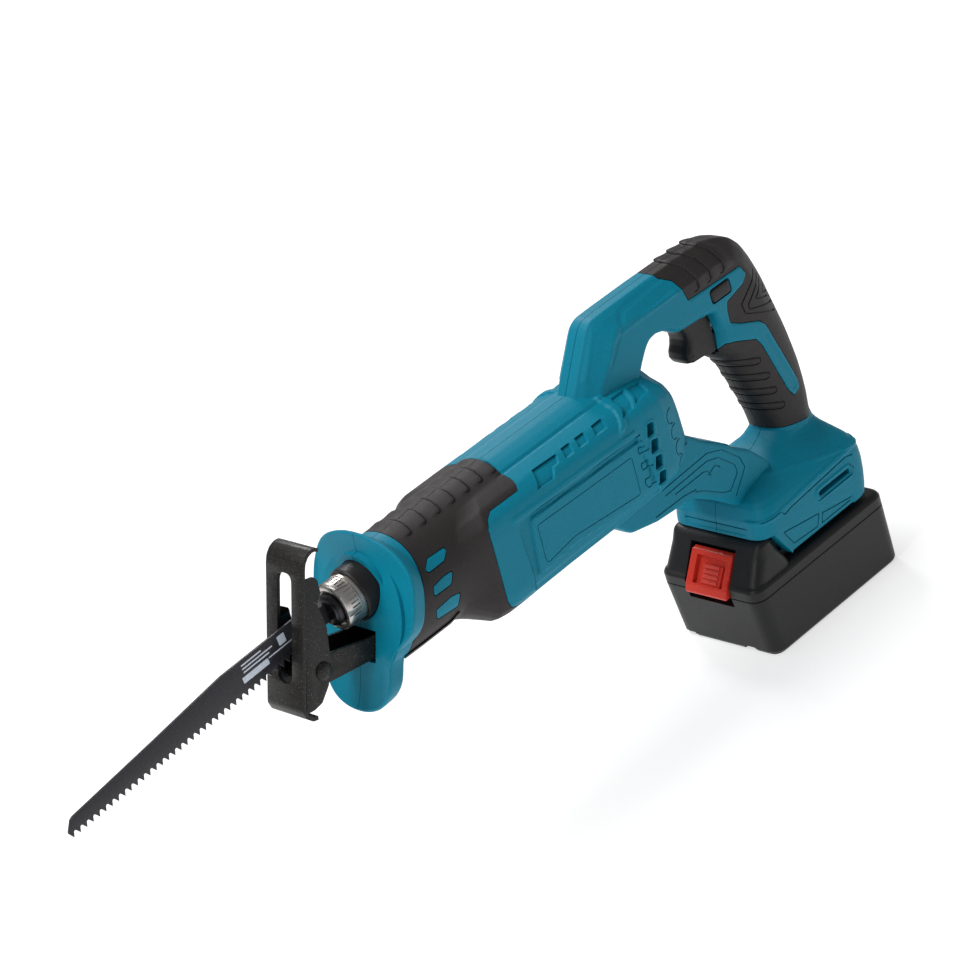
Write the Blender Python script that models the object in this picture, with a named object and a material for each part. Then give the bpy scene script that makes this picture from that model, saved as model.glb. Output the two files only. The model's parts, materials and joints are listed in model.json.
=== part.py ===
"""Cordless D-handle reciprocating saw with a slide-on battery, as an assembly of separate solids.

The frame: +X runs from the blade towards the rear handle, -Y is the left side, +Z is up, and the origin is the
centre of the battery's flat base. The blade strokes along X. Dimensions are in millimetres until put_mesh, which
writes metres.
"""

import math

import bmesh
import bpy
from mathutils import Matrix, Vector

# Driving dimensions, in millimetres
MM = 0.001
FIT = 0.35                    # gap between pieces that touch on the real object
STROKE = 20.0                 # travel of the blade
STROKE_Z = 177.5              # height of the stroke axis
BODY_HALF_WIDTH = 36.0
BODY_TOP, BODY_BOTTOM = 197.5, 127.2
GRIP_Z, GRIP_R = 165.3, 32.0  # axis and outer radius of the front grip
RUBBER = 2.2                  # thickness of the rubber layers
GUARD_RAKE = math.radians(21.8)
SHOE_RAKE = math.radians(22.2)
BLADE_TILT = math.radians(2.5)
MOTOR_Z = 166.0
CRANK_X, CRANK_THROW = -172.0, STROKE / 2
CRANK_GEAR_R, CRANK_TEETH = 28.5, 35
PINION_R, PINION_TEETH = 6.0, 8
BATTERY_FRONT, BATTERY_REAR = -56.5, 54.5
BATTERY_TOE = -50.0           # front of the base, behind the front of the parting line
CELL_FRONT = -47.6            # front wall of the cell room
BATTERY_HALF_WIDTH = 38.0
BATTERY_SPLIT, BATTERY_RIM = 37.0, 45.7
FOOT_BOTTOM, FOOT_HALF_WIDTH = 49.0, 36.5
RAIL_TOP, RAIL_HALF_WIDTH = 60.0, 28.0
HANDLE_HALF_WIDTH = 16.0
SHOE_PIVOT = (-322.3, 159.7)
CELL_R, CELL_LENGTH, CELL_PITCH = 9.2, 65.0, 19.6
NOSE_FRONT, NOSE_REAR = -262.0, -208.6


def clear_scene():
    for obj in list(bpy.data.objects):
        bpy.data.objects.remove(obj, do_unlink=True)


# Materials

def material(name, colour, roughness, metallic=0.0):
    found = bpy.data.materials.get(name)
    if found:
        return found
    made = bpy.data.materials.new(name)
    made.use_nodes = True
    shader = made.node_tree.nodes["Principled BSDF"]
    shader.inputs["Base Color"].default_value = (*colour, 1.0)
    shader.inputs["Roughness"].default_value = roughness
    shader.inputs["Metallic"].default_value = metallic
    return made


def teal_plastic():
    return material("teal_plastic", (0.006, 0.17, 0.25), 0.45)


def black_rubber():
    return material("black_rubber", (0.035, 0.03, 0.03), 0.75)


def black_plastic():
    return material("black_plastic", (0.03, 0.028, 0.03), 0.5)


def red_plastic():
    return material("red_plastic", (0.75, 0.05, 0.03), 0.4)


def steel():
    return material("steel", (0.55, 0.54, 0.52), 0.3, 1.0)


def dark_steel():
    return material("dark_steel", (0.04, 0.04, 0.045), 0.45, 0.6)


def aluminium():
    return material("aluminium", (0.6, 0.6, 0.62), 0.45, 1.0)


def bronze():
    return material("bronze", (0.5, 0.3, 0.12), 0.4, 1.0)


def copper():
    return material("copper", (0.7, 0.3, 0.15), 0.35, 1.0)


def green_board():
    return material("green_board", (0.02, 0.2, 0.08), 0.5)


# Shape helpers

def put_mesh(name, mesh_data, look=None, cutter=False):
    """An object made from a bmesh in millimetres. A cutter only shapes other objects."""
    mesh = bpy.data.meshes.new(name)
    bmesh.ops.recalc_face_normals(mesh_data, faces=mesh_data.faces)
    mesh_data.transform(Matrix.Scale(MM, 4))
    mesh_data.to_mesh(mesh)
    mesh_data.free()
    obj = bpy.data.objects.new(name, mesh)
    bpy.context.scene.collection.objects.link(obj)
    if cutter:
        obj.hide_render = True
        obj.display_type = "WIRE"
    else:
        mesh.materials.append(look)
        mesh.shade_smooth()
        mesh.set_sharp_from_angle(angle=math.radians(35))
    return obj


def loft(sections):
    """A closed tube through rings of points, each with the same number of points."""
    shape = bmesh.new()
    rings = [[shape.verts.new(point) for point in section] for section in sections]
    count = len(rings[0])
    for first, second in zip(rings, rings[1:]):
        for i in range(count):
            j = (i + 1) % count
            shape.faces.new((first[i], first[j], second[j], second[i]))
    shape.faces.new(rings[0])
    shape.faces.new(rings[-1])
    return shape


def prism(outline, y0, y1):
    """An outline in the XZ plane, extruded across Y."""
    return loft([[(x, y, z) for x, z in outline] for y in (y0, y1)])


def box(x0, x1, y0, y1, z0, z1):
    return prism([(x0, z0), (x1, z0), (x1, z1), (x0, z1)], y0, y1)


def ring(axis, along, radius, centre, segments, phase=0.0):
    """Points of a circle across an axis; centre holds the other two coordinates."""
    points = []
    for i in range(segments):
        turn = phase + math.tau * i / segments
        u, v = radius * math.cos(turn), radius * math.sin(turn)
        a, b = centre[0] + u, centre[1] + v
        points.append({"X": (along, a, b), "Y": (a, along, b), "Z": (a, b, along)}[axis])
    return points


def turned(axis, centre, profile, segments=20):
    """A solid turned about an axis through centre, from (along, radius) pairs."""
    return loft([ring(axis, along, radius, centre, segments) for along, radius in profile])


def pipe(axis, centre, start, end, outer, inner, segments=20):
    """A tube with a through bore."""
    shape = bmesh.new()
    rings = []
    for along, radius in ((start, outer), (end, outer), (end, inner), (start, inner)):
        rings.append([shape.verts.new(p) for p in ring(axis, along, radius, centre, segments)])
    for first, second in zip(rings, rings[1:] + rings[:1]):
        for i in range(segments):
            j = (i + 1) % segments
            shape.faces.new((first[i], first[j], second[j], second[i]))
    return shape


def coil(axis_x0, axis_x1, centre, radius, wire, turns, direction):
    """A helical spring as one swept tube. direction is the axis letter."""
    steps = int(turns * 8)
    sides = 4
    sections = []
    for i in range(steps + 1):
        turn = math.tau * turns * i / steps
        along = axis_x0 + (axis_x1 - axis_x0) * i / steps
        section = []
        for k in range(sides):
            around = math.tau * k / sides
            r = radius + wire * math.cos(around)
            lift = along + wire * math.sin(around)
            a, b = centre[0] + r * math.cos(turn), centre[1] + r * math.sin(turn)
            section.append({"X": (lift, a, b), "Z": (a, b, lift)}[direction])
        sections.append(section)
    return loft(sections)


def rounded_plan(x0, x1, half_width, z, corner, per_corner=3):
    """A rounded rectangle in plan."""
    points = []
    corners = ((x1, half_width, 0), (x0, half_width, 90), (x0, -half_width, 180), (x1, -half_width, 270))
    for x, y, start in corners:
        cx = x - corner if x == x1 else x + corner
        cy = y - corner if y > 0 else y + corner
        for i in range(per_corner):
            turn = math.radians(start + 90 * i / (per_corner - 1))
            points.append((cx + corner * math.cos(turn), cy + corner * math.sin(turn), z))
    return points


def oval(cx, half_x, half_y, z, segments=16):
    return [
        (cx + half_x * math.cos(math.tau * i / segments), half_y * math.sin(math.tau * i / segments), z)
        for i in range(segments)
    ]


def change(obj, operation, shape, name):
    """Adds a Boolean with a hidden helper made from shape."""
    helper = shape if isinstance(shape, bpy.types.Object) else put_mesh(name, shape, cutter=True)
    modifier = obj.modifiers.new(name, "BOOLEAN")
    modifier.operation = operation
    modifier.object = helper
    return modifier


def cut(obj, shape, name):
    return change(obj, "DIFFERENCE", shape, name)


def join(obj, shape, name):
    return change(obj, "UNION", shape, name)


def keep(obj, shape, name):
    return change(obj, "INTERSECT", shape, name)


# Housing

def body_section(x, shrink=0.0, top=BODY_TOP, bottom=BODY_BOTTOM):
    """Cross-section of the motor housing: arched top, square shoulders, flat sides, rounded floor."""
    w = BODY_HALF_WIDTH - shrink
    t, b = top - shrink, bottom + shrink
    right = [(0, t), (9, t - 1.3), (16.5, t - 4.6), (28, t - 8), (w - 2, t - 13.5), (w, t - 20.5)]
    right += [(w, b + 12), (w - 3, b + 4), (w - 10, b + 0.5), (0, b)]
    left = [(-y, z) for y, z in reversed(right[1:-1])]
    return [(x, y, z) for y, z in right + left]


def barrel_section(x, radius):
    """A round section with the same number of points as body_section."""
    count = len(body_section(0))
    return [
        (x, radius * math.sin(math.tau * i / count), GRIP_Z + radius * math.cos(math.tau * i / count))
        for i in range(count)
    ]


def guard_shape(grow=0.0, layers=((0.5, 3.5), (3.5, 0.5), (7.5, 0.0), (11.0, 3.0))):
    """Hand guard: an oval plate with a narrower tongue below, raked forward at the bottom.

    layers are (depth behind the front face, inset of the outline) pairs.
    """
    half = [(0, 50.5), (14, 49), (26, 45.5), (35, 37), (39, 27), (39, 7), (34, 0), (25, -12)]
    half += [(25, -28), (21, -36), (12, -42), (0, -43.8)]
    outline = half + [(-y, s) for y, s in reversed(half[1:-1])]
    lean = Vector((math.sin(GUARD_RAKE), 0, math.cos(GUARD_RAKE)))
    back = Vector((math.cos(GUARD_RAKE), 0, -math.sin(GUARD_RAKE)))
    centre = Vector((-286.2, 0, 159.3))
    sections = []
    for depth, inset in layers:
        scale = 1 - (inset - grow) / 42
        sections.append([
            tuple(centre + lean * (s * scale) + back * depth + Vector((0, y * scale, 0)))
            for y, s in outline
        ])
    return loft(sections)


def handle_shape():
    """Strut, top bar and upper rear of the D-handle as one side outline."""
    outer = [(-116, 196), (-91, 226), (-86, 229.3), (-16, 229.3), (4, 228.5), (14, 226), (24, 221), (30, 214)]
    outer += [(35, 203), (39, 190), (40.5, 180)]
    inner = [(-8, 180), (-8, 194), (-28, 196), (-40, 200.5), (-51, 202.7), (-61, 198.5), (-67, 192)]
    return prism(outer + inner, -HANDLE_HALF_WIDTH, HANDLE_HALF_WIDTH)


def handle_roof():
    """Chamfered envelope along the D-handle's top bar."""
    half = [(0, 229.4), (6, 229.4), (10, 225.5), (16, 217.5), (16.5, 170)]
    section = half + [(-y, z) for y, z in reversed(half[1:])]
    return loft([[(x, y, z) for y, z in section] for x in (-130, 60)])


GRIP_STATIONS = ((203, -8, 34), (193, -8, 37.5), (180, -7.5, 40.5), (166, -5, 43.5), (158, -1.5, 45),
                 (140, 3.2, 47.8), (120, 9.0, 48.2), (104, 13.5, 47.2))


def grip_shape(shrink=0.0, low=104.0, high=203.0):
    """Rear grip as a stack of ovals; shrink offsets the surface inwards."""
    sections = []
    for z, front, rear in GRIP_STATIONS:
        if low <= z <= high:
            middle, half = (front + rear) / 2, (rear - front) / 2
            sections.append(oval(middle, half - shrink, 16.5 - shrink, z))
    return loft(sections)


def brace_outline():
    """Boss under the motor and the brace that runs down to the foot."""
    return [(-124, 137), (-121, 122), (-112, 114), (-93, 109.5), (-66, 107.5), (-51, 98.5), (-40, 92), (-30, 86),
            (6, 86), (-5, 98), (-15, 110), (-28, 121), (-40, 130), (-58, 145), (-80, 150), (-120, 150)]


def foot_shape():
    return loft([
        rounded_plan(-39, 47, FOOT_HALF_WIDTH, FOOT_BOTTOM, 11),
        rounded_plan(-39, 47, FOOT_HALF_WIDTH, 84, 11),
        rounded_plan(-34, 46.5, 31, 92, 10),
        rounded_plan(2, 47, 19, 101, 9),
        rounded_plan(12, 47.2, 15, 108, 9),
    ])


def whole_casing():
    """The uncut casing with its cavities, before it is parted at the middle."""
    case = put_mesh("casing_barrel", loft([
        barrel_section(-272, GRIP_R - RUBBER - FIT - 8),
        barrel_section(-262, GRIP_R - RUBBER - FIT),
        barrel_section(-214, GRIP_R - RUBBER - FIT),
        body_section(-213.4, bottom=131.0),
        body_section(-190, bottom=129.5),
        body_section(-165),
        body_section(-75),
        body_section(-66, 4),
        body_section(-60, 11),
    ]), cutter=True)
    join(case, guard_shape(), "casing_guard")
    cut(case, guard_shape(layers=((-3.0, 6.0), (2.0, 9.0), (6.0, 15.0))), "guard_dish")
    handle = put_mesh("casing_handle", handle_shape(), cutter=True)
    keep(handle, handle_roof(), "casing_handle_roof")
    join(case, handle, "casing_handle_join")
    join(case, grip_shape(RUBBER + FIT), "casing_grip")
    join(case, prism(brace_outline(), -19.5, 19.5), "casing_brace")
    join(case, foot_shape(), "casing_foot")
    # Front of the foot rises over the battery's front block
    cut(case, prism([(-50, 40), (-20.5, 40), (-20.5, FOOT_BOTTOM), (-30.5, 66.5), (-50, 66.5)], -50, 50),
        "foot_front_notch")
    # Cavities
    cut(case, box(-45, 42, -RAIL_HALF_WIDTH - 0.5, RAIL_HALF_WIDTH + 0.5, 40, RAIL_TOP + 0.8), "rail_channel")
    cut(case, box(-31, 40, -30, 30, RAIL_TOP, 82), "foot_cavity")
    cut(case, turned("X", (0, STROKE_Z), [(-300, 23.0), (-273, 18.0), (-268, 15.4)]), "nose_opening")
    cut(case, turned("X", (0, STROKE_Z), [(-270, 15.4), (-200, 15.4)]), "nose_bore")
    cut(case, gear_case_block(-208.3, -131.5, 0.4, 168.4), "gear_case_room")
    cut(case, turned("X", (0, 168.3), [(-208.3, 25.4), (-131.5, 25.4)]), "gear_cover_room")
    cut(case, turned("X", (0, MOTOR_Z), [(-131.8, 27.0), (-74, 27.0)], 24), "motor_room")
    cut(case, turned("X", (0, MOTOR_Z), [(-75, 9.5), (-65.0, 9.5)]), "rear_bearing_seat")
    cut(case, box(-8.5, 27.4, -11.4, 11.4, 164.5, 196), "switch_room")
    cut(case, box(-20, -7, -10.6, 10.6, 166.5, 194.8), "trigger_mouth")
    cut(case, prism([(-9.6, 197.6), (7, 197.6), (7, 205), (-9.6, 205)], -40, 40), "lock_off_slot")
    cut(case, prism([(-300, 137.5), (-262, 139), (-262, 158), (-300, 164)], -12.2, 12.2), "strut_slot")
    # Vent slots on both sides, into the motor room
    for height in (174.5, 164.5, 154.5, 145.5):
        cut(case, box(-98.5, -92.5, -50, 50, height - 3, height + 3), f"vent_{int(height)}")
    # Long slot low on the foot
    cut(case, box(9, 35, -50, 50, 68.2, 70.4), "foot_slot")
    for number, (x, z) in enumerate(SCREWS, 1):
        cut(case, turned("Y", (x, z), [(4.0, 3.4), (50, 3.4)], 10), f"screw_bore_{number}")
    return case


SCREWS = ((-80, 209), (-62, 220), (-104, 117), (-50, 110), (-14, 87), (36, 88), (34, 102))


def housing_halves():
    case = whole_casing()
    for name, y0, y1 in (("left_housing", -63, -0.15), ("right_housing", 0.15, 60)):
        half = put_mesh(name, box(-330, 80, y0, y1, 20, 260), teal_plastic())
        # EXACT loses the left half of this closed casing
        keep(half, case, name + "_from_casing").solver = "MANIFOLD"


def housing_screws():
    for number, (x, z) in enumerate(SCREWS, 1):
        head = 14.5 if z > 90 else 17.0
        shape = turned("Y", (x, z), [(4.5, 1.8), (head - 3, 1.8), (head - 3, 3.0), (head, 3.0)], 8)
        put_mesh(f"housing_screw_{number}", shape, dark_steel())


def front_grip():
    """Rubber sleeve round the barrel behind the guard, in two halves."""
    for name, sign in (("front_grip_left", -1), ("front_grip_right", 1)):
        half = put_mesh(name, pipe("X", (0, GRIP_Z), -254, -214.5, GRIP_R, GRIP_R - RUBBER, 24), black_rubber())
        side = sorted((sign * 0.15, sign * 60))
        keep(half, box(-300, -180, *side, 100, 230), name + "_side")
        cut(half, guard_shape(0.8), name + "_guard")


def handle_overmoulds():
    """Rubber over the rear grip, in two halves, with a gap in front for the trigger."""
    for name, sign in (("handle_overmould_left", -1), ("handle_overmould_right", 1)):
        half = put_mesh(name, grip_shape(0.0, 112, 196), black_rubber())
        cut(half, grip_shape(RUBBER, 100, 210), name + "_core")
        side = sorted((sign * 0.15, sign * 60))
        keep(half, box(-60, 60, *side, 114, 179.5), name + "_side")
        cut(half, box(-60, 6, -60, 60, 163, 200), name + "_trigger_gap")


# Switch gear in the handle

def trigger_group():
    outline = [(-8.6, 169.5), (-22, 169.5), (-31, 173), (-36, 180), (-35, 188), (-31, 193), (-8.6, 193.5)]
    trigger = put_mesh("trigger", prism(outline, -9.6, 9.6), black_plastic())
    join(trigger, turned("X", (0, 182), [(-12, 4.0), (1.0, 4.0)], 12), "trigger_stem")
    put_mesh("trigger_spring", coil(-7.4, 9.2, (0, 182), 5.6, 0.5, 4.5, "X"), steel())
    put_mesh("switch_body", box(10.4, 27, -11, 11, 165, 195.6), black_plastic())
    put_mesh("lock_off_button", prism([(-9.2, 198), (6.6, 198), (6.6, 204.6), (-9.2, 204.6)], -13.5, 19),
             black_plastic())


# Drive line

def motor():
    put_mesh("motor_stator", pipe("X", (0, MOTOR_Z), -128, -92, 26.4, 14.8, 24), copper())
    rotor = turned("X", (0, MOTOR_Z), [(-150, 3.0), (-126, 4.0), (-126, 14), (-94, 14), (-94, 4.0), (-66, 4.0)], 16)
    put_mesh("motor_rotor", rotor, steel())
    fan = put_mesh("cooling_fan", pipe("X", (0, MOTOR_Z), -88, -86, 24.5, 4.3), black_plastic())
    for i in range(9):
        turn = math.tau * i / 9
        blade = box(-87, -78, 8, 23.5, -0.7, 0.7)
        blade.transform(Matrix.Translation((0, 0, MOTOR_Z)) @ Matrix.Rotation(turn, 4, "X"))
        join(fan, blade, f"fan_blade_{i + 1}")
    put_mesh("motor_front_bearing", pipe("X", (0, MOTOR_Z), -139, -132, 10.8, 4.3, 16), steel())
    put_mesh("motor_rear_bearing", pipe("X", (0, MOTOR_Z), -73.5, -66.5, 9.1, 4.3, 16), steel())


def toothed(axis_pairs, root, tip, teeth):
    """Outline of a toothed wheel as (radius, angle) pairs turned into points by axis_pairs."""
    points = []
    for i in range(teeth * 4):
        turn = math.tau * i / (teeth * 4)
        radius = tip if i % 4 in (0, 1) else root
        points.append(axis_pairs(radius * math.cos(turn), radius * math.sin(turn)))
    return points


def gears():
    pinion = loft([
        toothed(lambda a, b, x=x: (x, a, MOTOR_Z + b), PINION_R - 1.6, PINION_R - 0.4, PINION_TEETH)
        for x in (-149.5, -142)
    ])
    pinion = put_mesh("drive_pinion", pinion, steel())
    cut(pinion, turned("X", (0, MOTOR_Z), [(-151, 3.6), (-141, 3.9)], 16), "pinion_bore")
    gear = put_mesh("crank_gear", loft([
        toothed(lambda a, b, z=z: (CRANK_X + a, b, z), CRANK_GEAR_R - 1.5, CRANK_GEAR_R, CRANK_TEETH)
        for z in (151.0, 160.0)
    ]), steel())
    cut(gear, pipe("Z", (CRANK_X, 0), 157.5, 163, 21.5, 13), "gear_dish")
    join(gear, turned("Z", (CRANK_X + CRANK_THROW, 0), [(153, 4.0), (170.3, 4.0)], 16), "crank_pin")
    join(gear, turned("Z", (CRANK_X, 0), [(139.6, 6.0), (153, 6.0)], 16), "crank_shaft")
    put_mesh("crank_bearing", pipe("Z", (CRANK_X, 0), 139.6, 147.6, 13, 6.35, 20), steel())


def gear_case_block(x0, x1, grow, top):
    """Lower gear case: a block with its long bottom edges chamfered; grow offsets its sides and floor."""
    right = [(32.2 + grow, top), (32.2 + grow, 146.5), (26 + grow, 137 - grow)]
    section = right + [(-y, z) for y, z in reversed(right)]
    return loft([[(x, y, z) for y, z in section] for x in (x0, x1)])


def gear_case():
    case = put_mesh("gear_case", gear_case_block(-208, -132, 0.0, 168), aluminium())
    cut(case, gear_case_block(-205, -139.4, -2.4, 175), "gear_case_hollow")
    cut(case, turned("X", (0, STROKE_Z), [(-215, 15.0), (-200, 15.0)]), "gear_case_slider_way")
    cut(case, turned("X", (0, MOTOR_Z), [(-145, 11.2), (-120, 11.2)]), "gear_case_bearing_seat")
    cover = put_mesh("gear_case_cover", turned("X", (0, 168.3), [(-208, 25), (-132, 25)]), aluminium())
    cut(cover, turned("X", (0, 168.3), [(-205, 22.6), (-139.4, 22.6)]), "cover_hollow")
    cut(cover, box(-220, -120, -40, 40, 130, 168.35), "cover_lower_half")
    cut(cover, turned("X", (0, STROKE_Z), [(-215, 15.0), (-200, 15.0)]), "cover_slider_way")
    cut(cover, turned("X", (0, MOTOR_Z), [(-145, 11.2), (-120, 11.2)]), "cover_bearing_seat")
    put_mesh("gear_case_nose", pipe("X", (0, STROKE_Z), NOSE_FRONT, NOSE_REAR, 15.0, 12.4), aluminium())
    put_mesh("slider_bush_front", pipe("X", (0, STROKE_Z), -260, -248, 12.0, 8.35), bronze())
    put_mesh("slider_bush_rear", pipe("X", (0, STROKE_Z), -224, -212, 12.0, 8.35), bronze())
    put_mesh("nose_seal", pipe("X", (0, STROKE_Z), -273.6, NOSE_FRONT - 0.4, 14.6, 8.5), black_rubber())


def slider():
    shaft = put_mesh("slider_shaft", turned("X", (0, STROKE_Z), [(-276, 8), (-176, 8)]), steel())
    join(shaft, box(-183.5, -151.5, -18.5, 18.5, 171.3, 179.5), "yoke_plate")
    roller_x = CRANK_X + CRANK_THROW
    cut(shaft, box(roller_x - 5.5, roller_x + 5.5, -15.8, 15.8, 160, 195), "yoke_slot")
    cut(shaft, box(-188, -170, -20, 20, 160, 171.3), "crank_pin_way")
    put_mesh("yoke_roller", turned("Z", (roller_x, 0), [(171.6, 5.0), (179.2, 5.0)], 16), steel())


def blade_clamp():
    core = put_mesh("blade_clamp_core", turned("X", (0, STROKE_Z), [(-300, 7.5), (-298.5, 9), (-276.4, 9)]),
                    dark_steel())
    cut(core, box(-305, -282, -1.05, 1.05, STROKE_Z - 6.2, STROKE_Z + 6.2), "core_blade_slot")
    cut(core, turned("Y", (-290, STROKE_Z), [(-12, 2.4), (12, 2.4)], 12), "core_pin_bore")
    collar = put_mesh("blade_clamp_collar", pipe("X", (0, STROKE_Z), -296, -274.2, 13.3, 9.35, 28), steel())
    cut(collar, turned("X", (0, STROKE_Z), [(-286, 11.8), (-270, 11.8)]), "collar_spring_room")
    put_mesh("clamp_spring", coil(-285, -275.2, (0, STROKE_Z), 10.4, 0.6, 4.0, "X"), steel())
    put_mesh("blade_lock_pin", turned("Y", (-290, STROKE_Z), [(-8.4, 2.0), (8.4, 2.0)], 10), steel())


def blade():
    """Tapered blade with a row of six teeth per inch; its tang follows the stroke axis."""
    pitch, depth = 25.4 / 6, 2.8
    length = 172.0
    origin = Vector((-478.5, 0, 160.9))
    along = Vector((math.cos(BLADE_TILT), 0, math.sin(BLADE_TILT)))
    up = Vector((-math.sin(BLADE_TILT), 0, math.cos(BLADE_TILT)))
    outline = []
    for i in range(int(length / pitch)):
        outline += [(i * pitch, 0.0), (i * pitch + 1.2, depth)]
    outline += [(length, 2.0), (length, 19.0), (108, 19.1), (3.7, 9.9), (-1.8, 3.4)]
    shape = loft([[tuple(origin + along * a + up * b + Vector((0, y, 0))) for a, b in outline]
                  for y in (-0.62, 0.62)])
    piece = put_mesh("blade", shape, dark_steel())
    join(piece, box(-312, -283, -0.6, 0.6, STROKE_Z - 5.2, STROKE_Z + 5.2), "blade_tang")
    cut(piece, turned("Y", (-290, STROKE_Z), [(-12, 2.4), (12, 2.4)], 12), "blade_tang_hole")


# Shoe

def shoe():
    """Bent plate with a blade slot, side ears, a rolled top edge and a curled bottom lip."""
    face = [(-337.5, 139.4), (-341.0, 141.5), (-342.0, 146.0), (-314.6, 213.2), (-312.4, 218.2), (-307.4, 221.4),
            (-300.4, 220.0)]
    back = [(-301.2, 218.1), (-307.0, 219.3), (-310.9, 216.8), (-312.8, 212.5), (-339.9, 145.9), (-339.4, 143.1),
            (-336.8, 141.2)]
    plate = put_mesh("shoe", prism(face + back, -14, 14), dark_steel())
    ear = [(-341.6, 146.5), (-313.5, 215), (-307.8, 205.4), (-311, 190), (-319, 187), (-322, 172), (-317, 168),
           (-315.6, 159), (-318, 153), (-327.8, 148.5), (-333, 143.8), (-339, 144.5)]
    for y0, y1, side in ((-14, -12, "left"), (12, 14, "right")):
        join(plate, prism(ear, y0, y1), f"shoe_ear_{side}")
    slot = box(-8, 8, -4.75, 4.75, -27, 27)
    slot.transform(Matrix.Translation((-326.2, 0, 185.5)) @ Matrix.Rotation(SHOE_RAKE, 4, "Y"))
    cut(plate, slot, "shoe_slot")
    x, z = SHOE_PIVOT
    cut(plate, turned("Y", (x, z), [(-20, 3.3), (20, 3.3)], 12), "shoe_pivot_hole")
    # U-shaped strut: two sides and a floor, running back into the casing
    strut = put_mesh("shoe_strut", prism(strut_outline(), -11.5, 11.5), dark_steel())
    cut(strut, prism([(-340, 154), (-324, 153.2), (-290, 148.2), (-255, 144.2), (-255, 175), (-340, 175)],
                     -9.5, 9.5), "strut_channel")
    cut(strut, turned("Y", (x, z), [(-20, 3.3), (20, 3.3)], 12), "strut_pivot_hole")
    rivet = [(-15.8, 2.0), (-14.9, 4.2), (-14.3, 4.6), (-14.3, 2.9), (14.3, 2.9), (14.3, 4.6), (14.9, 4.2),
             (15.8, 2.0)]
    put_mesh("shoe_pivot_rivet", turned("Y", (x, z), rivet, 16), steel())


def strut_outline():
    return [(-327.5, 157), (-324, 164.5), (-318, 165.5), (-290, 157.5), (-264, 153.5), (-264, 143.5), (-290, 145.8),
            (-319, 150.6), (-326, 152)]


# Battery

def battery_case():
    lower = put_mesh("battery_lower_case", loft([
        rounded_plan(BATTERY_TOE + 1.5, BATTERY_REAR - 2, BATTERY_HALF_WIDTH - 2, 0, 8),
        rounded_plan(BATTERY_TOE - 0.6, BATTERY_REAR, BATTERY_HALF_WIDTH, 2.5, 9),
        rounded_plan(BATTERY_FRONT, BATTERY_REAR, BATTERY_HALF_WIDTH, BATTERY_SPLIT, 9),
    ]), black_plastic())
    room = [(-43, 2.2), (50.5, 2.2), (50.5, 60), (CELL_FRONT, 60), (CELL_FRONT, 9.5)]
    cut(lower, prism(room, -34, 34), "cell_room_lower")
    cut(lower, box(-70, -50.3, -16.2, 16.2, 30.5, 60), "button_pocket_lower")
    upper = put_mesh("battery_upper_case", loft([
        rounded_plan(BATTERY_FRONT, BATTERY_REAR, BATTERY_HALF_WIDTH, BATTERY_SPLIT + FIT, 9),
        rounded_plan(BATTERY_FRONT, BATTERY_REAR, BATTERY_HALF_WIDTH, 43, 9),
        rounded_plan(BATTERY_FRONT + 2.5, BATTERY_REAR - 2.5, BATTERY_HALF_WIDTH - 2.5, BATTERY_RIM, 8),
    ]), black_plastic())
    join(upper, box(-38, 40, -RAIL_HALF_WIDTH, RAIL_HALF_WIDTH, 44, RAIL_TOP), "rail_block")
    block = [(-54, 44), (-40, 65.6), (-31.5, 65.6), (-22, FOOT_BOTTOM), (-22, 44)]
    join(upper, prism(block, -30, 30), "front_block")
    cut(upper, box(CELL_FRONT, 50.5, -34, 34, 30, 40.6), "cell_room_upper")
    pocket = [(-70, 30), (-50.3, 30), (-50.3, 41.4), (-39.5, 58.4), (-39.5, 60.5), (-70, 60.5)]
    cut(upper, prism(pocket, -16.2, 16.2), "button_pocket")
    for y in (-10, 10):
        cut(upper, box(-6, 45, y - 1.6, y + 1.6, 50, 70), "terminal_slot_left" if y < 0 else "terminal_slot_right")
    button = [(-59.5, 36.5), (-58, 41), (-46, 58.5), (-43, 58.5), (-53.5, 42), (-53.5, 38.5), (-50.7, 38.5),
              (-50.7, 36.5)]
    put_mesh("battery_release_button", prism(button, -15.6, 15.6), red_plastic())
    put_mesh("battery_button_spring", coil(31.1, 35.8, (-52.6, 0), 1.3, 0.3, 3.5, "Z"), steel())


def battery_inside():
    for row, z in enumerate((11.8, 30.8)):
        for column in range(5):
            x = CELL_PITCH * (column - 2) + 1.3
            number = row * 5 + column + 1
            shape = turned("Y", (x, z), [(-CELL_LENGTH / 2, CELL_R), (CELL_LENGTH / 2, CELL_R)], 10)
            put_mesh(f"battery_cell_{number:02d}", shape, steel())


def electrics():
    put_mesh("terminal_block", box(-4, 26, -18, 18, RAIL_TOP + 1.4, 74), black_plastic())
    for side, y in (("left", -10), ("right", 10)):
        put_mesh(f"terminal_{side}", box(-3, 14, y - 0.6, y + 0.6, 51.5, RAIL_TOP + 1.0), copper())
    put_mesh("controller_board", box(-26, 36, -26, 26, 76, 78), green_board())


def main():
    clear_scene()
    housing_halves()
    housing_screws()
    front_grip()
    handle_overmoulds()
    trigger_group()
    motor()
    gears()
    gear_case()
    slider()
    blade_clamp()
    blade()
    shoe()
    battery_case()
    battery_inside()
    electrics()


main()
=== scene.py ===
"""Looks of the cordless D-handle reciprocating saw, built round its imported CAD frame.

Shapes are worked out in millimetres in the frame's axes: +X runs from the blade to the rear handle,
-Y is the left side, +Z is up, and the origin is the centre of the battery's base. Meshes are scaled
to metres when they are made.
"""
import json
import math

import bmesh
import bpy
import numpy as np
from mathutils import Matrix, Vector


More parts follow.
